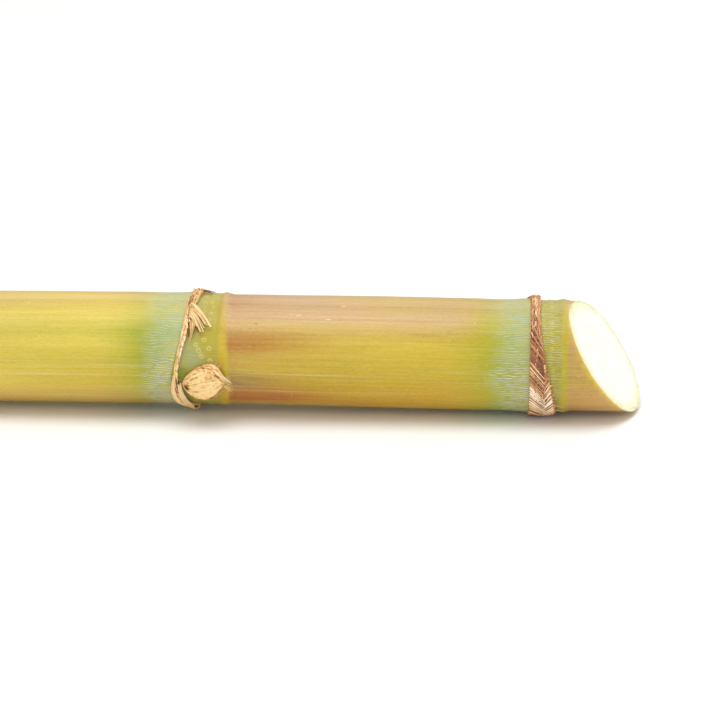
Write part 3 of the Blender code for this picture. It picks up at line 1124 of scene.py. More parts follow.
    def _colour_masks(self, mesh: bpy.types.Mesh) -> None:
        """Keeps on the mesh where each colour of the rind goes."""
        points = points_of(mesh)
        x, around = self.form.read_back(points)
        along = self.form.straightened(x, around)
        radius = self.form.radius
        straight = np.stack((along, radius * np.cos(around), radius * np.sin(around)), axis=-1)
        store_vector(mesh, "straight", straight)
        names = "wax wrinkle green gold light mauve russet grey lined band ring glow dark".split()
        masks = {name: np.zeros_like(along) for name in names}
        self._node_masks(masks, x, along, around)
        self._long_masks(masks, along, around)
        # Painted light: a golden glowing band on the rind beside each cut, weaker over its top.
        lit = 0.35 + 0.6 * smooth((0.5 - np.sin(around)) / 0.5)
        for cut in Cut:
            inward = (np.array(self._cut_point(cut)) - points) @ np.array(cut.facing)
            masks["glow"] += bell(inward, 0.8 * MM) * lit
        for name, values in masks.items():
            store(mesh, name, np.clip(values, 0.0, 1.0))
        _, place, shown = self._stud_relief(along, around)
        store_vector(mesh, "stud_place", place)
        store(mesh, "stud", shown)

    @staticmethod
    def _ragged(along: np.ndarray, around: np.ndarray) -> np.ndarray:
        """Short ragged steps round the cane."""
        return round_noise(around, along / (9.0 * MM), 26, 22)

    def _node_masks(self, masks: Masks, x: np.ndarray, along: np.ndarray, around: np.ndarray) -> None:
        """Adds the colours that belong to each node.

        Args:
            masks: The masks by name.
            x: Places along X.
            along: The same places along the straight cane.
            around: The angles round it.
        """
        up = np.sin(around)
        wander = round_noise(around, along / (16.0 * MM), 9, 21)
        ragged = self._ragged(along, around)
        for index, node in enumerate(self.form.nodes):
            upper = float(index == 2)
            turn = node.turn(around)
            past = along - node.scar
            to_scar = smooth(-past / (0.5 * MM))
            beyond = past - node.root_band
            after = np.clip(beyond, 0.0, None)
            above = smooth((beyond - 0.2 * MM) / (2.0 * MM))
            short = 4.0 * MM * upper
            start = short - 21.0 * MM + 1.6 * MM * wander + 0.8 * MM * ragged
            bloom = smooth((past - start) / (13.0 * MM)) ** 1.4 * to_scar
            in_band = smooth(past / (0.4 * MM)) * smooth((node.root_band - 0.4 * MM - past) / (0.9 * MM))
            valley = (0.75 - 0.5 * upper) * bell(past - 0.4 * MM, 2.4 * MM) + 0.04
            halo, shade = self._bud_halo(node, x, turn)
            dusty = 0.85 + 0.15 * wander + 0.1 * ragged
            # The bloom stops where the painted shade at the bud's foot lies.
            masks["wax"] += bloom * dusty + np.clip(valley * (1.0 - shade) + halo, 0.0, 1.0) * in_band
            low = 0.35 + 0.65 * smooth((0.45 - up) / 0.7)
            masks["wrinkle"] += smooth((past - start - 3.0 * MM) / (7.0 * MM)) * to_scar * low
            masks["wrinkle"] += (0.10 + 0.30 * upper) * in_band
            masks["grey"] += 0.2 * upper * in_band
            # Painted shade at each bud's foot darkens and greens the rind there; the upper node's darker root
            # band is its own colour.
            masks["dark"] += (0.2 * upper + 0.75 * shade) * in_band
            lit = 0.9 - 0.5 * smooth(up - 0.2)
            masks["green"] += 0.6 * upper * bell(beyond, 1.3 * MM) + shade
            masks["green"] += bell(past + 13.0 * MM - short, 11.0 * MM) * lit * (past < 0.0)
            masks["band"] = np.maximum(masks["band"], 0.9 * in_band * (1.0 - 0.85 * shade))
            ringed = 0.34 + 0.22 * round_noise(around, 0.0 * around, 3, 25 + index)
            ringed = ringed + 0.2 * bell(around - 0.35, 0.5)
            ringed = ringed * (1.0 - 0.75 * upper) * (1.0 - 0.35 * smooth((up - 0.7) / 0.3))
            masks["ring"] = np.maximum(masks["ring"], ringed * bell(beyond + 0.3 * MM, 1.0 * MM))
            patchy = 0.8 + 0.35 * round_noise(around, along / (34.0 * MM), 4, 30 + index)
            if index == 1:
                beside = 1.05 * hump(around, 26.0, 17.0) * bell(after, 27.0 * MM)
                under = 1.4 * hump(around, -38.0, 16.0) * bell(after, 44.0 * MM)
                side = np.maximum(np.maximum(beside, under), 0.5 * np.exp(-after / (10.0 * MM)))
            else:
                side = (0.45 + 0.55 * smooth((0.35 - up) / 0.8)) * np.exp(-after / (9.0 * MM)) / (1.0 + upper)
            masks["russet"] += above * np.clip(patchy, 0.45, 1.0) * side
            masks["mauve"] += 0.5 * above * np.exp(-after / (22.0 * MM)) * smooth(up + 0.5)
            streak = 1.1 * hump(turn, -0.5, 9.0) * (0.85 + 0.3 * ragged)
            masks["grey"] += above * streak * bell(after, 16.0 * MM)
            masks["lined"] += above * hump(turn, 2.0, 11.0) * np.exp(-after / (38.0 * MM))

    def _long_masks(self, masks: Masks, along: np.ndarray, around: np.ndarray) -> None:
        """Adds the colours that run on past the nodes, and those of the stump above the last one.

        Args:
            masks: The masks by name.
            along: Places along the straight cane.
            around: The angles round it.
        """
        _, middle, upper = self.form.nodes
        up = np.sin(around)
        ragged = self._ragged(along, around)
        younger = smooth((along - middle.scar) / (4.0 * MM))
        golden = 0.6 * smooth((-up + 0.2) / 0.9) + 0.2 * round_noise(around, along / (26.0 * MM), 5, 44)
        masks["gold"] += golden * (0.45 + 0.55 * younger)
        masks["light"] += 0.82 - 0.70 * younger
        masks["mauve"] += self._sunned(along, around)
        older_sides = (
            ("green", 0.38, 36.0, 13.0),
            ("green", 0.22, 8.0, 9.0),
            ("lined", 0.5, -9.0, 11.0),
            ("mauve", 0.3, -42.0, 16.0),
            ("russet", 0.4, -60.0, 14.0),
        )
        for name, strength, at, spread in older_sides:
            masks[name] += strength * (1.0 - younger) * hump(around, at, spread)
        line = hump(around, 37.0, 2.2) * younger * (along < upper.scar)
        masks["grey"] += 0.22 * line * (0.6 + 0.4 * ragged)
        stump = smooth((along - upper.scar - upper.root_band) / (1.5 * MM))
        masks["grey"] += stump * (0.27 + 0.12 * ragged) * hump(around, 12.0, 32.0)
        masks["gold"] += 0.4 * stump
        masks["lined"] += 0.12 * stump
        masks["grey"] += 0.12 * smooth((up - 0.8) / 0.2) * (masks["wax"] < 0.3)

    def _bud_halo(self, node: CaneNode, x: np.ndarray, turn: np.ndarray) -> tuple[np.ndarray, np.ndarray]:
        """The bloom that gathers round a bud, and the painted shade at its foot, where the rind is painted
        darker and greener.

        Args:
            node: The bud's node.
            x: Places along X.
            turn: The angles from the bud.

        Returns:
            The two masks.
        """
        middle = node.scar - self.form.scar_dip + 9.6 * MM
        reach = np.hypot((x - middle) / (7.0 * MM), self.form.radius * turn / (5.8 * MM))
        halo = 0.8 * bell(reach - 1.2, 0.16) * (0.6 + 0.4 * smooth(-turn / 0.1))
        above = hump(turn, 24.0, 13.0) * bell(x - node.scar - 0.5 * MM, 2.6 * MM)
        halo = np.maximum(halo, 0.9 * above)
        foot = hump(turn, 9.0, 8.5) * bell(x - middle + 6.6 * MM, 2.6 * MM)
        shade = np.clip(1.5 * foot, 0.0, 1.0)
        halo = halo * (1.0 - shade)
        return halo, shade

    def _sunned(self, along: np.ndarray, around: np.ndarray) -> np.ndarray:
        """The mauve side, which faced the sun: broad on the middle internode, slight on the others."""
        _, middle, upper = self.form.nodes
        up = np.sin(around)
        side = smooth((np.sin(around - math.radians(14.0)) - 0.16) / 0.6)
        edge = smooth((up - 0.82) / 0.18)
        broad = smooth((along - middle.scar) / (9.0 * MM))
        broad = broad * smooth((upper.scar - 12.0 * MM - along) / (14.0 * MM))
        ends = 0.14 + 0.5 * smooth((-up - 0.1) / 0.5) + 0.4 * smooth((up - 0.6) / 0.3)
        stump = ends * smooth((along - upper.scar - upper.root_band) / (2.0 * MM))
        wave = 0.82 + 0.22 * round_noise(around, along / (35.0 * MM), 5, 51)
        return (0.85 * broad * side + 0.4 * (1.0 - broad) * edge + stump) * wave

    def _flesh(self, cut: Cut, flesh: bpy.types.Material) -> None:
        """Builds the flesh of one cut: a disc inside the rind, a little proud and rough from the blade."""
        form = self.form
        rings = [(1.0, (step + 0.5) / self.flesh_rings) for step in range(self.flesh_rings)]
        profile = [(1.0, 0.002), *rings, (0.6, 1.0), (-1.5, 1.0), (-1.5, 0.002)]
        body = spun(profile, self.flesh_sides, closed=False)
        bmesh.ops.holes_fill(body, edges=[edge for edge in body.edges if edge.is_boundary], sides=0)
        mesh = as_mesh(f"cut_flesh_{cut.name.lower()}", body)
        points = points_of(mesh)
        height = points[:, 0]
        share = np.hypot(points[:, 1], points[:, 2])
        around = np.arctan2(points[:, 2], -points[:, 1])
        centre = np.array(self._cut_point(cut))
        facing = np.array(cut.facing)
        end = self._end_at(cut)
        edge_x = end - form.radius * (facing[2] * np.sin(around) - facing[1] * np.cos(around)) / facing[0]
        ragged = self.rind_edge * (1.0 + 0.35 * round_noise(around, 0.0 * around, 14, 61))
        outline = form.surface(edge_x, around) - ragged
        across = -share * outline * np.cos(around)
        up = share * outline * np.sin(around)
        along = -(facing[1] * across + facing[2] * up) / facing[0]
        flat = centre + np.stack((along, across, up), axis=-1)
        strokes = round_noise(0.0 * around, (across + 0.35 * up) / (0.9 * MM), 1, 62)
        lumps = noise(across / (1.6 * MM), up / (1.6 * MM), 63)
        rough = (0.03 * strokes + 0.05 * lumps) * (1.0 - share**6)
        lift = np.where(height > 0.0, 0.12 + rough - 0.07 * share**8, 0.12) * MM
        raised = flat + (height * lift)[:, None] * facing
        move_points(mesh, raised)
        store_vector(mesh, "grain", np.stack((across, up, along), axis=-1))
        store(mesh, "rim", share)
        finished(mesh.name, mesh, (flesh,), "cane")


# Dry fibres and ribbons


@dataclass(frozen=True)
class Strand:
    """One dry fibre or torn ribbon.

    Its start and end are (past the scar line, angle round the cane, lift over the rind), in metres and
    radians.
    """

    start: Place
    end: Place
    width: float
    thick: float
    bow: float = 0.0
    sway: float = 0.0
    twist: float = 0.0
    tip: float = 0.35
    tone: float = 0.5
    # How much lighter its outer face and darker its underside are painted: painted light and shade.
    crest: float = 0.1


def strand_values(draw: random.Random, ranges: dict[str, Range], shade: float = 0.0) -> dict[str, float]:
    """Draws a strand's values in the order given, and brings its sizes from mm to metres.

    Args:
        draw: The random draw.
        ranges: Each value: a number, a pair to draw between, or a longer row to choose from.
        shade: What is added to the tone.

    Returns:
        The values by name.
    """
    found = {}
    for label, value in ranges.items():
        if isinstance(value, tuple):
            value = draw.uniform(*value) if len(value) == 2 else draw.choice(value)
        found[label] = value * MM if label in STRAND_SIZES else value
    found["tone"] += shade
    return found


@dataclass
class StrandBlank:
    """The plain rod that every strand of a piece is shaped from."""

    sections: int = 6
    sides: int = 5

    def mesh(self) -> bpy.types.Mesh:
        """The rod: a unit long along Z, of radius 1."""
        body = bmesh.new()
        bmesh.ops.create_cone(
            body, cap_ends=True, segments=self.sides, radius1=1.0, radius2=1.0, depth=1.0
        )
        long_edges = [edge for edge in body.edges if abs(edge.verts[0].co.z - edge.verts[1].co.z) > 0.5]
        bmesh.ops.subdivide_edges(body, edges=long_edges, cuts=self.sections - 1, use_grid_fill=True)
        return as_mesh("strand_blank", body)

    def shaped(self, name: str, strands: Sequence[Strand], form: CaneForm, node: CaneNode) -> bpy.types.Mesh:
        """Shapes one rod for each strand and lays them on the cane.

        Args:
            name: The mesh's name.
            strands: The strands.
            form: The cane's form.
            node: The node whose scar line they follow.

        Returns:
            A mesh of all the strands.
        """
        blank = self.mesh()
        rod = points_of(blank)
        body = bmesh.new()
        for _ in strands:
            body.from_mesh(blank)
        mesh = as_mesh(name, body, outward=False)
        bpy.data.meshes.remove(blank)
        t = (rod[:, 2] + 0.5)[None, :]
        side = rod[:, 0][None, :]
        rise = rod[:, 1][None, :]
        start = np.array([strand.start for strand in strands])
        end = np.array([strand.end for strand in strands])

        def each(label: str) -> np.ndarray:
            """One number of every strand, as a column."""
            return np.array([getattr(strand, label) for strand in strands])[:, None]

        path = start[:, None, :] + (end - start)[:, None, :] * t[:, :, None]
        run = end[:, 0] - start[:, 0]
        turned = (end[:, 1] - start[:, 1]) * form.radius
        length = np.maximum(np.hypot(run, turned), 0.01 * MM)
        aside = np.stack((-turned / length, run / length), axis=-1)
        taper = (1.0 - t) + each("tip") * t
        taper = taper * (0.75 + 0.25 * np.sin(math.pi * np.clip(t * 1.4, 0.0, 1.0)))
        swing = each("twist") * t
        half = each("width") * 0.5 * taper
        lateral = half * side * np.cos(swing) + each("sway") * np.sin(math.pi * t)
        lift = path[:, :, 2] + each("bow") * 4.0 * t * (1.0 - t)
        lift = lift + each("thick") * 0.5 * rise * np.sqrt(taper) + half * side * np.sin(swing)
        along = path[:, :, 0] + aside[:, 0][:, None] * lateral
        around = path[:, :, 1] + aside[:, 1][:, None] * lateral / form.radius
        x = form.scar_at(node, around) + along
        radius = np.maximum(form.surface(x, around), form.radius) + np.maximum(lift, 0.05 * MM)
        points = form.place(x.ravel(), around.ravel(), radius.ravel())
        points[:, 2] = np.maximum(points[:, 2], 0.0)
        move_points(mesh, points)
        # The outer face of each strand is painted lighter and its underside darker by its crest: painted
        # light and shade.
        shade = each("tone") + each("crest") * rise + 0.0 * t
        store(mesh, "tone", np.clip(shade, 0.0, 1.4))
        index = np.arange(len(strands))[:, None] * 3.7 * MM
        grain = (length[:, None] * t + index, half * side + index, each("thick") * rise + 0.0 * t)
        store_vector(mesh, "grain", np.stack(np.broadcast_arrays(*grain), axis=-1).reshape(-1, 3))
        return mesh


# The leaf sheath stubs


@dataclass
class SheathStub:
    """The dry stub of a leaf sheath: a torn band on the leaf scar, with loose fibres and ribbons."""

    form: CaneForm
    node: CaneNode
    slot: Slot
    seed: int
    around_steps: int = 480
    across_steps: int = 9
    thickness: float = 0.45 * MM
    clearance: float = 0.60 * MM
    seat: float = 0.15 * MM
    torn: float = 0.10

    def width(self, turn: np.ndarray) -> np.ndarray:
        """How wide the band is at an angle from the bud."""
        raise NotImplementedError

    def below(self, turn: np.ndarray) -> np.ndarray:
        """How far below the scar the band begins."""
        return np.full(np.shape(turn), self.form.stub_below_scar)

    def curl(self, turn: np.ndarray, across: np.ndarray) -> np.ndarray:
        """How far the band curls outwards."""
        return 0.1 * MM * across + 0.0 * turn

    def band_tone(self, turn: np.ndarray, across: np.ndarray) -> np.ndarray:
        """How light the band is."""
        return np.full(np.broadcast(turn, across).shape, 0.4)

    def strands(self) -> list[Strand]:
        """The fibres and ribbons that make up the stub's surface."""
        raise NotImplementedError

    def build(self, finish: bpy.types.Material) -> None:
        """Builds the band and its fibres.

        Args:
            finish: Their material.
        """
        name = f"leaf_sheath_stub_{self.node.name}"
        band = self._band(f"sheath_band_{self.node.name}")
        finished(band.name, band, (finish,), name)
        fibres = StrandBlank().shaped(f"sheath_fibres_{self.node.name}", self.strands(), self.form, self.node)
        finished(fibres.name, fibres, (finish,), name, 60.0)

    def outer(self, turn: np.ndarray, across: np.ndarray) -> np.ndarray:
        """How high the band's outside stands over the cane's even radius.

        Args:
            turn: The angle from the bud.
            across: The share of the way across the band.

        Returns:
            The heights.
        """
        body = self.thickness * (0.45 + 0.55 * self._rounded(across))
        return self.clearance + body + self.curl(turn, across)

    @staticmethod
    def _rounded(across: np.ndarray) -> np.ndarray:
        """How full the band is across its width: 1 in the middle, near 0 at its edges."""
        return np.sin(math.pi * np.clip(across, 0.02, 0.98)) ** 0.5

    def _band(self, name: str) -> bpy.types.Mesh:
        """The closed band under the fibres."""
        steps = self.across_steps
        outside = [(step / steps, 2.0) for step in range(steps + 1)]
        inside = [(step / 4.0, 1.0) for step in (4, 3, 2, 1, 0)]
        mesh = as_mesh(name, spun(outside + inside, self.around_steps, closed=True))
        points = points_of(mesh)
        across = points[:, 0]
        outward = np.hypot(points[:, 1], points[:, 2]) - 1.0
        around = np.arctan2(points[:, 2], -points[:, 1])
        turn = self.node.turn(around)
        torn = round_noise(around, 0.0 * around, 70, self.seed)
        torn = self.torn * (torn + np.abs(round_noise(around, 0.0 * around, 150, self.seed + 4)))
        x = self.form.scar_at(self.node, around) - self.below(turn)
        x = x + self.width(turn) * across * (1.0 + torn * across)
        rough = 0.07 * MM * round_noise(around, across * 2.0, 110, self.seed + 1)
        edge = self._rounded(across)
        seat = self.form.surface(x, around) - self.form.radius + self.seat
        inner = self.clearance + self.curl(turn, across)
        lift = inner + outward * (self.thickness * (0.45 + 0.55 * edge) + rough * edge)
        lift = np.where(outward < 0.5, np.minimum(seat, lift), lift)
        placed = self.form.place(x, around, self.form.radius + lift)
        placed[:, 2] = np.maximum(placed[:, 2], 0.0)
        move_points(mesh, placed)
        tone = self.band_tone(turn, across) + 0.14 * round_noise(around, across, 90, self.seed + 2)
        store(mesh, "tone", np.clip(tone, 0.0, 1.0))
        store_vector(mesh, "grain", np.stack((around * self.form.radius, x, lift), axis=-1))
        return mesh

    def fibre(
        self, angle: float, spread: float, first: float, last: float, raised: float = 0.0, **shape: float
    ) -> Strand:
        """A fibre that lies on the band.

        Args:
            angle: Where it starts, as an angle round the cane.
            spread: How far round it runs, down the front for a positive value.
            first: The share of the band's width where it starts.
            last: The share of the band's width where it ends.
            raised: How far it stands off the band.
            shape: The strand's own sizes and tone.

        Returns:
            The strand.
        """
        ends = []
        for side, share in ((angle, first), (angle - spread, last)):
            turn = self.node.turn(np.array(side))
            past = float(self.width(turn)) * share - float(self.below(turn))
            lift = float(self.outer(turn, np.array(min(max(share, 0.0), 1.0)))) + raised
            ends.append((past, side, lift))
        return Strand(start=ends[0], end=ends[1], **shape)

    def bunch(
        self,
        draw: random.Random,
        count: int,
        shade: float = 0.0,
        limits: tuple[float, float] = (-9.0, 9.0),
        **ranges: Range,
    ) -> list[Strand]:
        """Fibres that lie on the band, each with its values drawn in the order given.

        Args:
            draw: The random draw.
            count: How many there are.
            shade: How light they are before their own tone is added.
            limits: What a fibre's end is kept between, as shares of the band's width.
            ranges: The values or their ranges, in degrees and mm, as strand_values() takes them. A fibre ends
                at its "last" share of the band's width, or a "step" past its "first".

        Returns:
            The strands.
        """
        found = []
        for _ in range(count):
            values = strand_values(draw, ranges, shade)
            angle = math.radians(values.pop("angle"))
            spread = math.radians(values.pop("spread"))
            first = values.pop("first")
            if "step" in values:
                last = min(max(first + values.pop("step"), limits[0]), limits[1])
            else:
                last = values.pop("last")
            found.append(self.fibre(angle, spread, first, last, **values))
        return found

    def loose_fibres(
        self, draw: random.Random, count: int, shade: float, arc: tuple[float, float]
    ) -> list[Strand]:
        """Thin fibres that lie this way and that along the band, with frayed ones over its torn edge.

        Args:
            draw: The random draw.
            count: How many there are.
            shade: How light they are.
            arc: The angles round the cane, in degrees, that they keep to.

        Returns:
            The strands.
        """
        lying = self.bunch(
            draw,
            count,
            shade,
            (0.0, 1.1),
            first=(0.0, 1.0),
            angle=arc,
            spread=(5.0, 20.0),
            step=(-0.4, 0.45),
            raised=(-0.1, 0.12),
            width=(0.2, 0.45),
            thick=(0.14, 0.3),
            bow=(-0.05, 0.2),
            sway=(-0.2, 0.2),
            tip=(0.3, 0.8),
            tone=(-0.3, 0.35),
        )
        frayed = self.bunch(
            draw,
            count // 3,
            shade,
            angle=arc,
            spread=(-2.5, 4.0),
            first=(0.6, 0.85),
            last=(1.02, 1.35),
            raised=(-0.1, 0.1),
            width=(0.2, 0.4),
            thick=(0.14, 0.24),
            tip=(0.1, 0.5),
            tone=(-0.15, 0.4),
        )
        return lying + frayed


@dataclass
class MiddleStub(SheathStub):
    """The stub that shows best: a thin pale lip, a fan of torn fibres, a crumpled scrap and a curled flap."""

    clearance: float = 0.42 * MM

    def width(self, turn: np.ndarray) -> np.ndarray:
        """Thin beside the bud, wider over the top and in the flap below the bud."""
        base = 1.2 * MM + 0.9 * MM * smooth((np.abs(turn) - math.radians(25.0)) / math.radians(60.0))
        over_top = 0.9 * MM * hump(turn, 112.0, 28.0)
        flap = 1.1 * MM * hump(turn, -45.0, 16.0)
        return base + over_top + flap

    def below(self, turn: np.ndarray) -> np.ndarray:
        """Furthest below the scar on the upper front, where the sheath was torn lengthwise."""
        up_front = 1.9 * MM * hump(turn, 78.0, 32.0)
        up_front = up_front + 0.7 * MM * hump(turn, 125.0, 30.0)
        behind = 1.0 * MM * smooth((np.abs(turn) - math.radians(60.0)) / math.radians(60.0))
        return up_front + behind - 0.45 * MM

    def curl(self, turn: np.ndarray, across: np.ndarray) -> np.ndarray:
        """The lip turns out at its torn edge, most in the flap."""
        flap = 0.8 * MM * hump(turn, -45.0, 18.0)
        return (0.25 * MM + flap) * across**2

    def band_tone(self, turn: np.ndarray, across: np.ndarray) -> np.ndarray:
        """White along the torn edge beside the bud and brown behind it, darker elsewhere."""
        beside = hump(turn, 32.0, 40.0)
        edge = smooth((across - 0.45) / 0.2)
        return 0.5 + beside * 0.5 * edge + 0.15 * bell(across - 0.9, 0.2)

    def strands(self) -> list[Strand]:
        """The fibres, in the order in which they are drawn."""
        draw = random.Random(self.seed)
        found = self.loose_fibres(draw, 110, 0.5, (48.0, 180.0))
        found += self.loose_fibres(draw, 60, 0.5, (-180.0, -30.0))
        found += self._lip(draw)
        return found + self._fan(draw) + self._brown_flap(draw) + self._scrap(draw) + self._curled_flap(draw)

    def ribbon(
        self, draw: random.Random, start: Place, end: Place, shade: float = 0.0, **ranges: Range
    ) -> Strand:
        """A strand between two places given as (x in mm, angle in degrees, lift in mm).

        Args:
            draw: The random draw.
            start: Where it starts.
            end: Where it ends.
            shade: How light it is before its own tone is added.
            ranges: The values or their ranges, as strand_values() takes them.

        Returns:
            The strand.
        """
        ends = []
        for x, degrees, lift in (start, end):
            angle = math.radians(degrees)
            past = x * MM - float(self.form.scar_at(self.node, np.array(angle)))
            ends.append((past, angle, lift * MM))
        return Strand(start=ends[0], end=ends[1], **strand_values(draw, ranges, shade))

    def _lip(self, draw: random.Random) -> list[Strand]:
        """The thin lip beside the bud: tan fibres, a knobbly cream edge and a white stretch of it."""
        behind = self.bunch(
            draw,
            46,
            angle=(-24.0, 58.0),
            spread=(4.0, 12.0),
            first=(0.0, 0.45),
            last=(0.0, 0.45),
            raised=(-0.05, 0.15),
            width=(0.25, 0.5),
            thick=0.26,
            sway=(-0.12, 0.12),
            tip=0.6,
            tone=(0.45, 0.8),
            crest=0.2,
        )
        edge = self.bunch(
            draw,
            64,
            first=(0.55, 1.0),
            angle=(-22.0, 48.0),
            spread=(1.5, 5.0),
            step=(-0.25, 0.2),
            raised=(0.0, 0.25),
            width=(0.3, 0.6),
            thick=(0.25, 0.45),
            tip=(0.5, 1.0),
            tone=(0.35, 0.85, 0.95, 1.0),
            crest=0.15,
        )
        white = self.bunch(
            draw,
            9,
            first=(0.78, 1.0),
            angle=(14.0, 34.0),
            spread=(4.0, 8.0),
            step=(-0.12, 0.1),
            raised=(0.12, 0.3),
            width=(0.3, 0.5),
            thick=0.4,
            tip=0.7,
            tone=(1.2, 1.35),
        )
        return behind + edge + white

    def _fan(self, draw: random.Random) -> list[Strand]:
        """The stiff straws that stand out aslant from the upper front, each with a dark ribbon under it that
        paints its shadow.
        """
        straws = (
            ((-1.0, 66.5), (5.4, 39.5), 0.95, 0.74),
            ((-1.1, 63.5), (4.3, 40.5), 0.60, 0.45),
            ((-1.2, 61.0), (3.6, 41.5), 0.48, 0.62),
            ((-1.25, 60.0), (3.3, 38.0), 0.42, 0.52),
            ((-1.3, 59.0), (3.1, 34.5), 0.50, 0.60),
            ((-1.35, 57.5), (2.7, 33.5), 0.44, 0.46),
            ((-1.4, 56.5), (2.2, 34.0), 0.52, 0.72),
            ((-1.6, 54.5), (1.6, 37.0), 0.42, 0.44),
            ((-1.8, 53.0), (0.9, 39.5), 0.48, 0.60),
        )
        straw = {"thick": 0.36, "bow": (0.15, 0.35), "sway": (-0.12, 0.12), "tip": 0.8, "crest": 0.2}
        # Dark ribbons laid under the straws: painted shadows.
        shadow = {"width": 0.3, "thick": 0.25, "bow": 0.1, "tip": 0.6, "tone": 0.12}
        found = []
        for (x0, a0), (x1, a1), broad, tone in straws:
            end = (x1, a1, draw.uniform(0.9, 1.5))
            found.append(self.ribbon(draw, (x0, a0, 1.0), end, width=broad, tone=tone, **straw))
            end = (x1 - draw.uniform(0.5, 1.0), a1 + draw.uniform(-1.5, 1.0), 0.55)
            found.append(self.ribbon(draw, (x0 + 0.3, a0 - 1.5, 0.85), end, **shadow))
        return found

    def _brown_flap(self, draw: random.Random) -> list[Strand]:
        """The ragged brown strip that hangs below the fan, and dark ribbons behind it that paint the shadow
        in the recess there.
        """
        places = (
            (-1.3, 45.0, -1.1, 24.5, 0.60, 0.36),
            (-0.7, 46.5, -0.7, 28.0, 0.65, 0.46),
            (-0.2, 47.0, -0.3, 32.0, 0.55, 0.40),
            (0.2, 46.5, -0.2, 34.0, 0.30, 0.85),
        )
        strip = {"thick": 0.26, "bow": 0.2, "sway": 0.15, "twist": (-0.5, 0.5), "tip": 0.5, "crest": 0.2}
        found = []
        for x0, a0, x1, a1, broad, tone in places:
            end = (x1, a1, draw.uniform(0.8, 1.1))
            found.append(self.ribbon(draw, (x0, a0, 0.95), end, width=broad, tone=tone, **strip))
        # Dark ribbons behind the strip: painted shadow in the recess under it.
        hollow_shade = (
            (-2.0, 47.0, 0.2, 48.0),
            (-1.9, 45.0, -0.9, 46.5),
            (-1.8, 47.0, -1.9, 35.0),
            (-1.1, 44.0, -1.6, 29.0),
        )
        dark = {"width": 0.85, "thick": 0.2, "tip": 0.5, "tone": 0.0}
        for x0, a0, x1, a1 in hollow_shade:
            found.append(self.ribbon(draw, (x0, a0, 1.0), (x1, a1, 0.95), **dark))
        return found

    def _scrap(self, draw: random.Random) -> list[Strand]:
        """The crumpled scrap over the top, with a dark pointed sliver up the cane."""
        found = []
        for index in range(44):
            # Every third strand lies lower and dark: painted shade in the folds between the lighter ones.
            dark = index % 3 == 0
            a0 = draw.uniform(78.0, 114.0)
            x0 = draw.uniform(-1.9, -0.2) + 0.05 * max(a0 - 88.0, 0.0)
            start = (x0, a0, draw.uniform(0.45, 0.6) if dark else draw.uniform(0.6, 0.78))
            end = (x0 + draw.uniform(0.2, 1.1), a0 + draw.uniform(-14.0, 4.0), draw.uniform(0.45, 0.75))
            found.append(
                self.ribbon(
                    draw,
                    start,
                    end,
                    width=(0.45, 1.0),
                    thick=(0.16, 0.28),
                    bow=(-0.1, 0.15),
                    sway=(-0.35, 0.35),
                    twist=(-1.2, 1.2),
                    tip=(0.3, 0.8),
                    tone=(0.05, 0.25) if dark else (0.55, 1.0),
                    crest=0.25,
                )
            )
        slivers = (
            ((-0.3, 102.0, 0.95), (5.2, 98.0, 0.25), 1.3, 0.08),
            ((0.1, 97.0, 0.9), (4.6, 94.0, 0.25), 1.1, 0.16),
            ((-0.5, 107.5, 0.95), (3.6, 103.0, 0.5), 0.5, 0.60),
        )
        sliver = {"thick": 0.5, "bow": 0.08, "tip": 0.5}
        for start, end, broad, tone in slivers:
            found.append(self.ribbon(draw, start, end, width=broad, tone=tone, **sliver))
        return found

    def _curled_flap(self, draw: random.Random) -> list[Strand]:
        """The thick folded flap below the bud: two rolls with a dark line of painted shade between them, and
        dark ribbons of painted shadow in its open end.
        """
        roll = {"width": (0.4, 0.6), "tip": 0.9, "crest": 0.25}
        found = []
        for index in range(9):
            offset = (index - 4) * 0.15
            drop = 0.11 * abs(index - 4)
            start = (-4.9 + offset, -17.0 - 4.0 * draw.random(), 1.45 - drop)
            end = (-0.7 + 1.2 * offset, -57.0 - 5.0 * draw.random(), 1.85 - drop)
            own = {"thick": 0.6, "bow": (0.05, 0.2), "sway": (-0.35, -0.15), "tone": (-0.25, 0.25)}
            found.append(self.ribbon(draw, start, end, 0.88 + 0.02 * index, **roll, **own))
        for index in range(9):
            offset = (index - 4) * 0.14
            start = (-6.1 + 0.6 * offset, -6.0 - 5.0 * draw.random(), 1.25)
            end = (-1.9 + 1.2 * offset, -60.0 - 5.0 * draw.random(), 1.4 - 0.07 * abs(index - 4))
            own = {"thick": 0.5, "bow": (0.1, 0.3), "sway": (-1.35, -1.15), "tone": (-0.25, 0.25)}
            found.append(self.ribbon(draw, start, end, 0.80 + 0.03 * index, **roll, **own))
        # Dark ribbons in the gap between the rolls: painted shade.
        gap = {"width": 0.42, "thick": 0.4, "sway": -0.35, "tip": 0.3, "tone": 0.0}
        for lift in (1.0, 1.5):
            found.append(self.ribbon(draw, (-5.4, -13.0, lift), (-3.6, -40.0, lift + 0.1), **gap))
        # Dark ribbons in the open end of the flap: painted shadow.
        hollow_shade = {"width": 0.9, "thick": 0.8, "tip": 0.8, "tone": 0.0}
        for x, angle in ((-0.45, -55.0), (-0.6, -57.5), (-0.2, -56.5)):
            found.append(self.ribbon(draw, (x, angle, 1.6), (x + 0.7, angle + 1.0, 1.5), **hollow_shade))
        return found


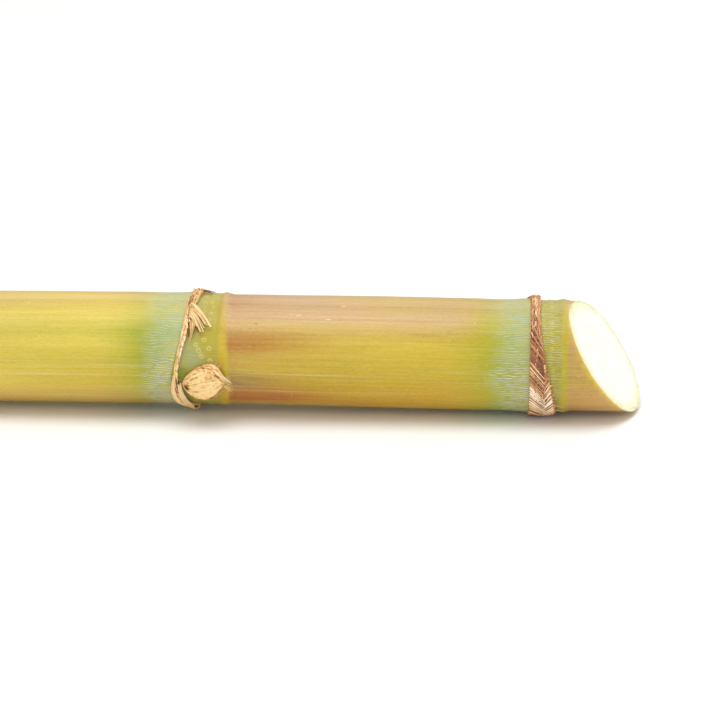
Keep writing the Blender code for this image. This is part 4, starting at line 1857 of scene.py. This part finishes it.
@dataclass
class UpperStub(SheathStub):
    """The reddish-brown stub, pleated in a herringbone that is crumpled over the top of the cane."""

    torn: float = 0.025
    fold: float = 0.93
    fold_back: float = 83.0
    fold_back_from: float = 4.4 * MM
    tongue_from: float = 3.4 * MM
    tongue_growth: float = 1.1 * MM
    tongue_slope: float = 1.15
    narrow_slope: float = 3.2
    pleat_pitch: float = 0.98 * MM

    def width(self, turn: np.ndarray) -> np.ndarray:
        """Widest in the tongue low on the front, narrow at the bud."""
        tongue = 6.0 * MM * bell(wrapped(turn - math.radians(115.0)), math.radians(72.0))
        return 2.6 * MM + tongue - 1.0 * MM * bell(turn, math.radians(40.0))

    def below(self, turn: np.ndarray) -> np.ndarray:
        """The band has broken back to the scar over the top of the cane."""
        return 0.45 * MM - 1.5 * MM * hump(turn, -78.0, 35.0)

    def band_tone(self, turn: np.ndarray, across: np.ndarray) -> np.ndarray:
        """Dark under the pleats, as painted shade that shows between them, lighter at its left edge."""
        return 0.14 + 0.5 * bell(across, 0.06) + 0.4 * bell(across - 1.0, 0.12) + 0.0 * turn

    def strands(self) -> list[Strand]:
        """The pleats, left and right of the fold, the crumples and a few loose fibres."""
        draw = random.Random(self.seed)
        count = round(math.tau * self.form.radius / self.pleat_pitch)
        found = []
        for index in range(count):
            angle = math.tau * (index + draw.uniform(-0.22, 0.22)) / count - math.pi
            found += self._pleats(draw, angle)
        found += self.loose_fibres(draw, 36, 0.45, (-180.0, 180.0))
        return found + self._crumples(draw)

    def _shade(self, draw: random.Random, angle: float) -> tuple[float, float]:
        """How light the pleats are here, with some of them painted cream as highlights, and how much lighter
        their crests are painted.

        Args:
            draw: The random draw.
            angle: The angle round the cane.

        Returns:
            The tone and the crest.
        """
        highlit = float(bell(wrapped(angle + math.radians(44.0)), math.radians(34.0)))
        dull = float(bell(wrapped(angle - math.radians(8.0)), math.radians(20.0)))
        top = float(bell(wrapped(angle - math.radians(66.0)), math.radians(30.0)))
        tone = 0.40 + 0.12 * highlit - 0.16 * dull + 0.14 * top
        spread = 0.14 + 0.2 * highlit
        # Painted highlights: some pleats, most of them low on the front, are painted cream-white.
        if draw.random() < 0.12 + 0.3 * highlit:
            tone += 0.4
        return tone + draw.uniform(-spread, spread), 0.18 + 0.26 * highlit

    def _pleats(self, draw: random.Random, angle: float) -> list[Strand]:
        """The two pleats that meet at the fold at this angle."""
        wide = float(self.width(self.node.turn(np.array(angle))))
        broad = float(smooth(np.array((wide - self.tongue_from) / self.tongue_growth)))
        fold = self.fold - self.fold_back * max(wide - self.fold_back_from, 0.0) + draw.uniform(-0.03, 0.03)
        slope = self.tongue_slope + self.narrow_slope * (1.0 - broad)
        left_turn = wide * fold * slope / self.form.radius
        right_turn = wide * (1.0 - fold) * slope / self.form.radius
        found = []
        for start, share in ((left_turn, 0.02), (right_turn, 1.0)):
            tone, crest = self._shade(draw, angle)
            left = share < 0.5
            found.append(
                self.fibre(
                    angle + start,
                    start,
                    share * 0.95 + draw.uniform(-0.01, 0.01),
                    fold + (0.02 if left else -0.02),
                    draw.uniform(-0.02, 0.12) * MM,
                    width=draw.uniform(0.5, 0.76) * MM,
                    thick=draw.uniform(0.4, 0.6) * MM,
                    bow=draw.uniform(-0.05, 0.15) * MM,
                    sway=draw.uniform(-0.08, 0.08) * MM,
                    tip=0.65,
                    tone=tone + (0.0 if left else 0.04),
                    crest=crest,
                )
            )
        return found

    def _crumples(self, draw: random.Random) -> list[Strand]:
        """Creases that run round the narrow part, over the pleats."""
        found = []
        for _ in range(46):
            share = draw.uniform(0.08, 0.95)
            # Those across the middle of the band's width are paler: a painted highlight down its middle.
            pale = 0.3 < share < 0.65
            found += self.bunch(
                draw,
                1,
                angle=(48.0, 132.0),
                spread=(5.0, 13.0),
                first=share,
                step=(-0.16, 0.16),
                raised=(0.05, 0.22),
                width=(0.35, 0.7),
                thick=(0.3, 0.45),
                sway=(-0.25, 0.25),
                tip=(0.3, 0.8),
                tone=(0.5, 0.85) if pale else (0.2, 0.55),
                crest=0.15,
            )
        return found


@dataclass
class LowerStub(SheathStub):
    """A rope-like ring of frayed fibres."""

    def width(self, turn: np.ndarray) -> np.ndarray:
        """Nearly even all the way round."""
        return 2.5 * MM + 0.8 * MM * bell(turn - math.pi / 2.0, math.radians(50.0))

    def strands(self) -> list[Strand]:
        """Fibres that run aslant, and a frayed bunch."""
        draw = random.Random(self.seed)
        slanted = self.bunch(
            draw,
            270,
            angle=(-180.0, 180.0),
            spread=(8.0, 20.0),
            first=(0.0, 0.35),
            last=(0.6, 1.12),
            raised=(-0.05, 0.1),
            width=(0.3, 0.6),
            thick=(0.25, 0.45),
            bow=(0.0, 0.3),
            tip=(0.2, 0.7),
            tone=(0.2, 0.95),
            crest=0.2,
        )
        frayed = self.bunch(
            draw,
            18,
            angle=(10.0, 28.0),
            spread=(-9.0, 9.0),
            first=0.6,
            last=(1.4, 2.0),
            raised=(0.0, 0.3),
            width=0.45,
            thick=0.3,
            bow=(0.1, 0.5),
            tip=0.5,
            tone=(0.4, 0.95),
        )
        return slanted + frayed + self.loose_fibres(draw, 90, 0.5, (-180.0, 180.0))


# The buds


@dataclass
class Bud:
    """A plump scaly bud on the root band, veined to its point, with a tuft of hairs."""

    form: CaneForm
    node: CaneNode
    size: float
    length: float = 14.0 * MM
    broad: float = 10.6 * MM
    tall: float = 4.6 * MM
    widest: float = 0.62
    lean: float = math.radians(6.0)
    past_scar: float = 3.3 * MM
    tip_lift: float = 1.6 * MM
    seat: float = 0.6 * MM
    gap: float = 0.3 * MM
    sides: int = 180
    rows: int = 120
    veins: int = 18

    def build(self, finish: bpy.types.Material) -> None:
        """Builds the scales and the hairs.

        Args:
            finish: Their material.
        """
        stands_for = f"bud_{self.node.name}"
        scales = self._scales(f"bud_scales_{self.node.name}")
        finished(scales.name, scales, (finish,), stands_for, 70.0)
        blank = StrandBlank(sections=5, sides=4)
        hairs = blank.shaped(f"bud_hairs_{self.node.name}", self._hairs(), self.form, self.node)
        finished(hairs.name, hairs, (finish,), stands_for, 60.0)

    def fullness(self, share: np.ndarray) -> np.ndarray:
        """How broad the bud is from its foot, 0, past its widest place to its blunt point, 1."""
        foot = np.clip(1.0 - ((self.widest - share) / self.widest) ** 2, 0.0, 1.0) ** 0.7
        beyond = np.maximum(share - self.widest, 0.0) / (1.0 - self.widest)
        point = np.clip(1.0 - beyond**2.2, 0.0, 1.0) ** 0.8
        return np.where(share < self.widest, foot, point)

    def _scales(self, name: str) -> bpy.types.Mesh:
        """The closed bud: overlapping scales with veins that meet at its point."""
        body = bmesh.new()
        bmesh.ops.create_uvsphere(body, u_segments=self.sides, v_segments=self.rows, radius=1.0)
        mesh = as_mesh(name, body, outward=False)
        points = points_of(mesh)
        share = np.clip((points[:, 2] + 1.0) / 2.0, 0.0, 1.0)
        meridian = np.arctan2(points[:, 0], points[:, 1])
        full = self.fullness(share)
        swell = np.maximum(np.sin(math.pi * share**0.85), 0.0) ** 0.6
        front = np.clip(1.4 * bell(meridian, 1.45), 0.0, 1.0)
        step, edge_shade, lower_side_shade = self._overlap(share, meridian)
        waver = 0.35 * noise(3.0 * share, 1.8 * meridian, 70) + 0.25 * np.sin(2.4 * share + 1.2 * meridian)
        vein = np.abs(np.sin(self.veins * 0.5 * meridian + waver))
        present = smooth(0.55 + 0.9 * noise(2.2 * share, 2.6 * meridian, 72))
        groove = smooth(1.0 - vein / 0.24) * (0.6 + 0.4 * present)
        relief = -0.12 * MM * groove + 0.05 * MM * noise(4.0 * share, 7.0 * meridian, 71)
        relief = relief + 0.03 * MM * noise(30.0 * share, 17.0 * meridian, 75)
        broad = 1.0 + 0.05 * np.cos(7.0 * meridian) * full
        ragged = 1.0 + 0.02 * noise(16.0 * share, 4.0 * meridian, 74)
        aside = np.sin(meridian) * full * broad * ragged * self.broad / 2.0 * self.size
        above = np.cos(meridian) * swell * broad * self.tall * self.size
        above = above + (relief + step) * full * front
        x = self.form.scar_at(self.node, np.array(self.node.bud_angle)) + self.past_scar
        x = x + share * self.length * self.size
        around = self.node.bud_angle + self.lean * share + aside / self.form.radius
        rind = self.form.clear(x, around, self.gap)
        lift = self.tip_lift * share**3 + self.seat
        radius = np.maximum(rind + above + lift, rind)
        move_points(mesh, self.form.place(x, around, radius))
        # The scales are painted darker along each overlapping edge: painted shade.
        tone = 0.86 - 0.34 * groove - 0.6 * edge_shade + 0.10 * noise(4.0 * share, 12.0 * meridian, 73)
        tone = tone - 1.1 * bell(share - 0.12, 0.065) * bell(meridian - 0.05, 0.28)
        spots = smooth((noise(13.0 * share, 9.0 * meridian, 77) - 0.25) / 0.3)
        # Painted shade: the lower side and the flanks toward the cane are darker. The spots are the bud's own
        # marks.
        tone = tone - 0.42 * lower_side_shade - 0.32 * spots * smooth((meridian - 0.1) / 0.6)
        tone = tone - 0.22 * (1.0 - front) - 0.15 * bell(share - 1.0, 0.04)
        store(mesh, "tone", np.clip(tone, 0.0, 1.0))
        store_vector(mesh, "grain", np.stack((x, meridian * 4.0 * MM, radius), axis=-1))
        return mesh

    def _overlap(self, share: np.ndarray, meridian: np.ndarray) -> tuple[np.ndarray, np.ndarray, np.ndarray]:
        """The steps where one scale lies over the next.

        Args:
            share: The way from the foot to the point.
            meridian: The angle round the bud, positive on its upper side.

        Returns:
            How far the upper scale stands out, a mask of the painted shade along its overlapping edge, and
            one of the painted shade on its lower side.
        """
        along_tip = np.clip((share - 0.40) / 0.60, 0.0, 1.0)
        upper = meridian - (1.35 - 1.15 * along_tip**1.3)
        along_low = np.clip((share - 0.30) / 0.70, 0.0, 1.0)
        lower = -meridian - (1.25 - 0.95 * along_low**0.9)
        upper_on = smooth((share - 0.38) / 0.1)
        lower_on = smooth((share - 0.30) / 0.08)
        step = 0.22 * MM * (1.0 - smooth(upper / 0.06) * upper_on)
        step = step + 0.36 * MM * (1.0 - smooth(lower / 0.06) * lower_on)
        edge_shade = 0.8 * upper_on * bell(upper - 0.07, 0.06) + lower_on * bell(lower - 0.07, 0.06)
        return step, np.clip(edge_shade, 0.0, 1.0), smooth(lower / 0.07) * lower_on

    def _hairs(self) -> list[Strand]:
        """The tuft at the point, and short down on the sides and the foot."""
        draw = random.Random(f"hairs {self.node.name}")
        tip = self.past_scar + self.length * self.size
        axis = self.node.bud_angle + self.lean
        found = []
        for _ in range(11):
            angle = axis + draw.uniform(-0.02, 0.06)
            back = self._from_scar(angle, tip - draw.uniform(1.0, 2.6) * MM)
            on = self._from_scar(angle, tip + draw.uniform(0.8, 3.0) * MM)
            start = (back, angle, draw.uniform(1.6, 2.6) * MM)
            end = (on, angle + draw.uniform(-0.30, -0.08), draw.uniform(0.6, 1.9) * MM)
            tuft = {"width": (0.14, 0.22), "thick": 0.14, "bow": (0.0, 0.3), "tip": 0.3, "tone": (0.85, 1.2)}
            found.append(Strand(start=start, end=end, **strand_values(draw, tuft)))
        white = {"width": 0.2, "thick": 0.18, "bow": 0.5, "tip": 0.4, "tone": 1.25}
        for index in range(4):
            angle = axis + 0.18 - 0.02 * index
            start = (self._from_scar(angle, tip - 2.0 * MM), angle, 2.6 * MM)
            on = self._from_scar(angle - 0.18, tip + (1.2 + 0.3 * index) * MM)
            found.append(Strand(start=start, end=(on, angle - 0.18, 1.7 * MM), **strand_values(draw, white)))
        down = {"width": 0.09, "thick": 0.09, "tip": 0.3, "tone": (0.6, 1.0)}
        for _ in range(90):
            share = draw.uniform(0.08, 0.85)
            side = draw.choice((-1.0, 1.0))
            edge = float(self.fullness(np.array(share))) * self.broad / 2.0 * self.size / self.form.radius
            angle = self.node.bud_angle + self.lean * share + side * edge * draw.uniform(0.86, 0.98)
            past = self.past_scar + share * self.length * self.size
            start = (self._from_scar(angle, past), angle, draw.uniform(0.8, 1.8) * MM)
            on = self._from_scar(angle, past + draw.uniform(0.3, 1.3) * MM)
            end = (on, angle + side * draw.uniform(0.02, 0.06), draw.uniform(0.2, 1.2) * MM)
            found.append(Strand(start=start, end=end, **strand_values(draw, down)))
        return found

    def _from_scar(self, angle: float, past: float) -> float:
        """How far past the scar line at this angle a place is that lies so far past the scar at the bud."""
        at_bud = float(self.form.scar_at(self.node, np.array(self.node.bud_angle)))
        return at_bud + past - float(self.form.scar_at(self.node, np.array(angle)))


# The studio


@dataclass
class Studio:
    """A pale floor, soft light and the camera."""

    form: CaneForm
    yaw: float = math.radians(2.9)
    elevation: float = math.radians(18.9)
    distance: float = 1.0
    lens: float = 155.0
    aim_along: float = 52.0 * MM
    aim_height: float = 16.6 * MM
    floor_size: float = 8.0

    def build(self) -> None:
        """Puts up the floor, the lights and the camera."""
        bpy.context.scene.view_settings.view_transform = "Standard"
        self._floor()
        self._world()
        self._light("overhead_softbox", Vector((0.1, -0.10, 1.3)), (1.5, 1.0), 13.0)
        self._light("back_softbox", Vector((0.2, 1.5, 1.2)), (1.6, 0.9), 5.5)
        self._light("front_softbox", Vector((-0.7, -1.5, 0.8)), (1.0, 1.0), 4.5)
        self._light("right_softbox", Vector((1.2, -0.7, 0.7)), (0.8, 0.8), 2.5)
        self._camera()

    def _floor(self) -> None:
        """The floor: one wide pale sheet."""
        body = bmesh.new()
        bmesh.ops.create_grid(body, x_segments=2, y_segments=2, size=self.floor_size / 2.0)
        mesh = as_mesh("floor", body)
        material = bpy.data.materials.new("pale_floor")
        material.use_nodes = True
        shader = material.node_tree.nodes["Principled BSDF"]
        shader.inputs["Base Color"].default_value = (0.93, 0.93, 0.92, 1.0)
        shader.inputs["Roughness"].default_value = 0.9
        shader.inputs["Specular IOR Level"].default_value = 0.1
        mesh.materials.append(material)
        floor = bpy.data.objects.new("floor", mesh)
        floor.location.z = -0.02 * MM
        bpy.context.scene.collection.objects.link(floor)

    def _world(self) -> None:
        """Even pale light from all round."""
        world = bpy.data.worlds.new("studio")
        world.use_nodes = True
        background = world.node_tree.nodes["Background"]
        background.inputs["Color"].default_value = (1.0, 1.0, 0.985, 1.0)
        background.inputs["Strength"].default_value = 0.5
        bpy.context.scene.world = world

    def _light(self, name: str, place: Vector, size: tuple[float, float], power: float) -> None:
        """A soft rectangular light that faces the cane.

        Args:
            name: Its name.
            place: Where it hangs.
            size: How wide and how deep it is.
            power: Its power in watts.
        """
        light = bpy.data.lights.new(name, "AREA")
        light.shape = "RECTANGLE"
        light.size, light.size_y = size
        light.energy = power
        lamp = bpy.data.objects.new(name, light)
        lamp.matrix_world = self._aimed(place, Vector((0.05, 0.0, 0.02)))
        bpy.context.scene.collection.objects.link(lamp)

    @staticmethod
    def _aimed(place: Vector, target: Vector) -> Matrix:
        """The matrix of a lamp or camera at a place, looking at a target."""
        turn = (target - place).to_track_quat("-Z", "Y").to_matrix().to_4x4()
        return Matrix.Translation(place) @ turn

    def _camera(self) -> None:
        """The camera, at the photograph's viewing angle."""
        camera = bpy.data.cameras.new("camera")
        camera.lens = self.lens
        camera.clip_end = 20.0
        target = Vector((self.aim_along + self.form.origin_x, self.form.front_shift, self.aim_height))
        back = Vector(
            (
                math.sin(self.yaw) * math.cos(self.elevation),
                -math.cos(self.yaw) * math.cos(self.elevation),
                math.sin(self.elevation),
            )
        )
        viewer = bpy.data.objects.new("camera", camera)
        viewer.matrix_world = self._aimed(target + back * self.distance, target)
        bpy.context.scene.collection.objects.link(viewer)
        bpy.context.scene.camera = viewer


def make_finishes() -> dict[str, bpy.types.Material]:
    """Builds the materials.

    Returns:
        The materials by name.
    """
    effects = Effects()
    return {
        "rind": RindFinish("waxy_rind", roughness=0.36, coat=0.08).make(effects),
        "rim": RimFinish("rind_cut_edge", roughness=0.5).make(),
        "flesh": CutFinish("cut_flesh", roughness=0.45).make(),
        "sheath_tan": DryFinish("dry_sheath_tan", roughness=0.82).make(effects),
        "sheath_brown": DryFinish(
            "dry_sheath_brown",
            roughness=0.6,
            dark=(0.10, 0.025, 0.008, 1.0),
            body=(0.47, 0.19, 0.07, 1.0),
            light=(0.96, 0.64, 0.35, 1.0),
            specks=0.15,
        ).make(effects),
        "bud": DryFinish(
            "dry_bud_scale",
            roughness=0.75,
            dark=(0.15, 0.045, 0.010, 1.0),
            body=(0.60, 0.29, 0.075, 1.0),
            light=(0.98, 0.70, 0.32, 1.0),
            pitch=1300.0,
            relief=0.06 * MM,
            specks=0.6,
        ).make(effects),
    }


def main() -> None:
    """Builds the cane, its stubs and buds, and the studio."""
    logging.basicConfig(level=logging.INFO, format="%(message)s")
    nodes = (
        CaneNode("lower", -105.0 * MM, math.radians(168.0), 9.5 * MM),
        CaneNode("middle", 0.0, math.radians(-18.0), 9.0 * MM),
        CaneNode("upper", 107.0 * MM, math.radians(-173.0), 10.5 * MM),
    )
    form = CaneForm(nodes)
    lower, middle, upper = nodes
    finishes = make_finishes()
    Cane(form).build(finishes)
    LowerStub(form, lower, Slot.SHEATH_TAN, 12).build(finishes["sheath_tan"])
    MiddleStub(form, middle, Slot.SHEATH_TAN, 3).build(finishes["sheath_tan"])
    UpperStub(form, upper, Slot.SHEATH_BROWN, 8).build(finishes["sheath_brown"])
    for node, size in ((lower, 0.94), (middle, 1.0), (upper, 0.9)):
        Bud(form, node, size).build(finishes["bud"])
    Studio(form).build()


if __name__ == "__main__":
    main()
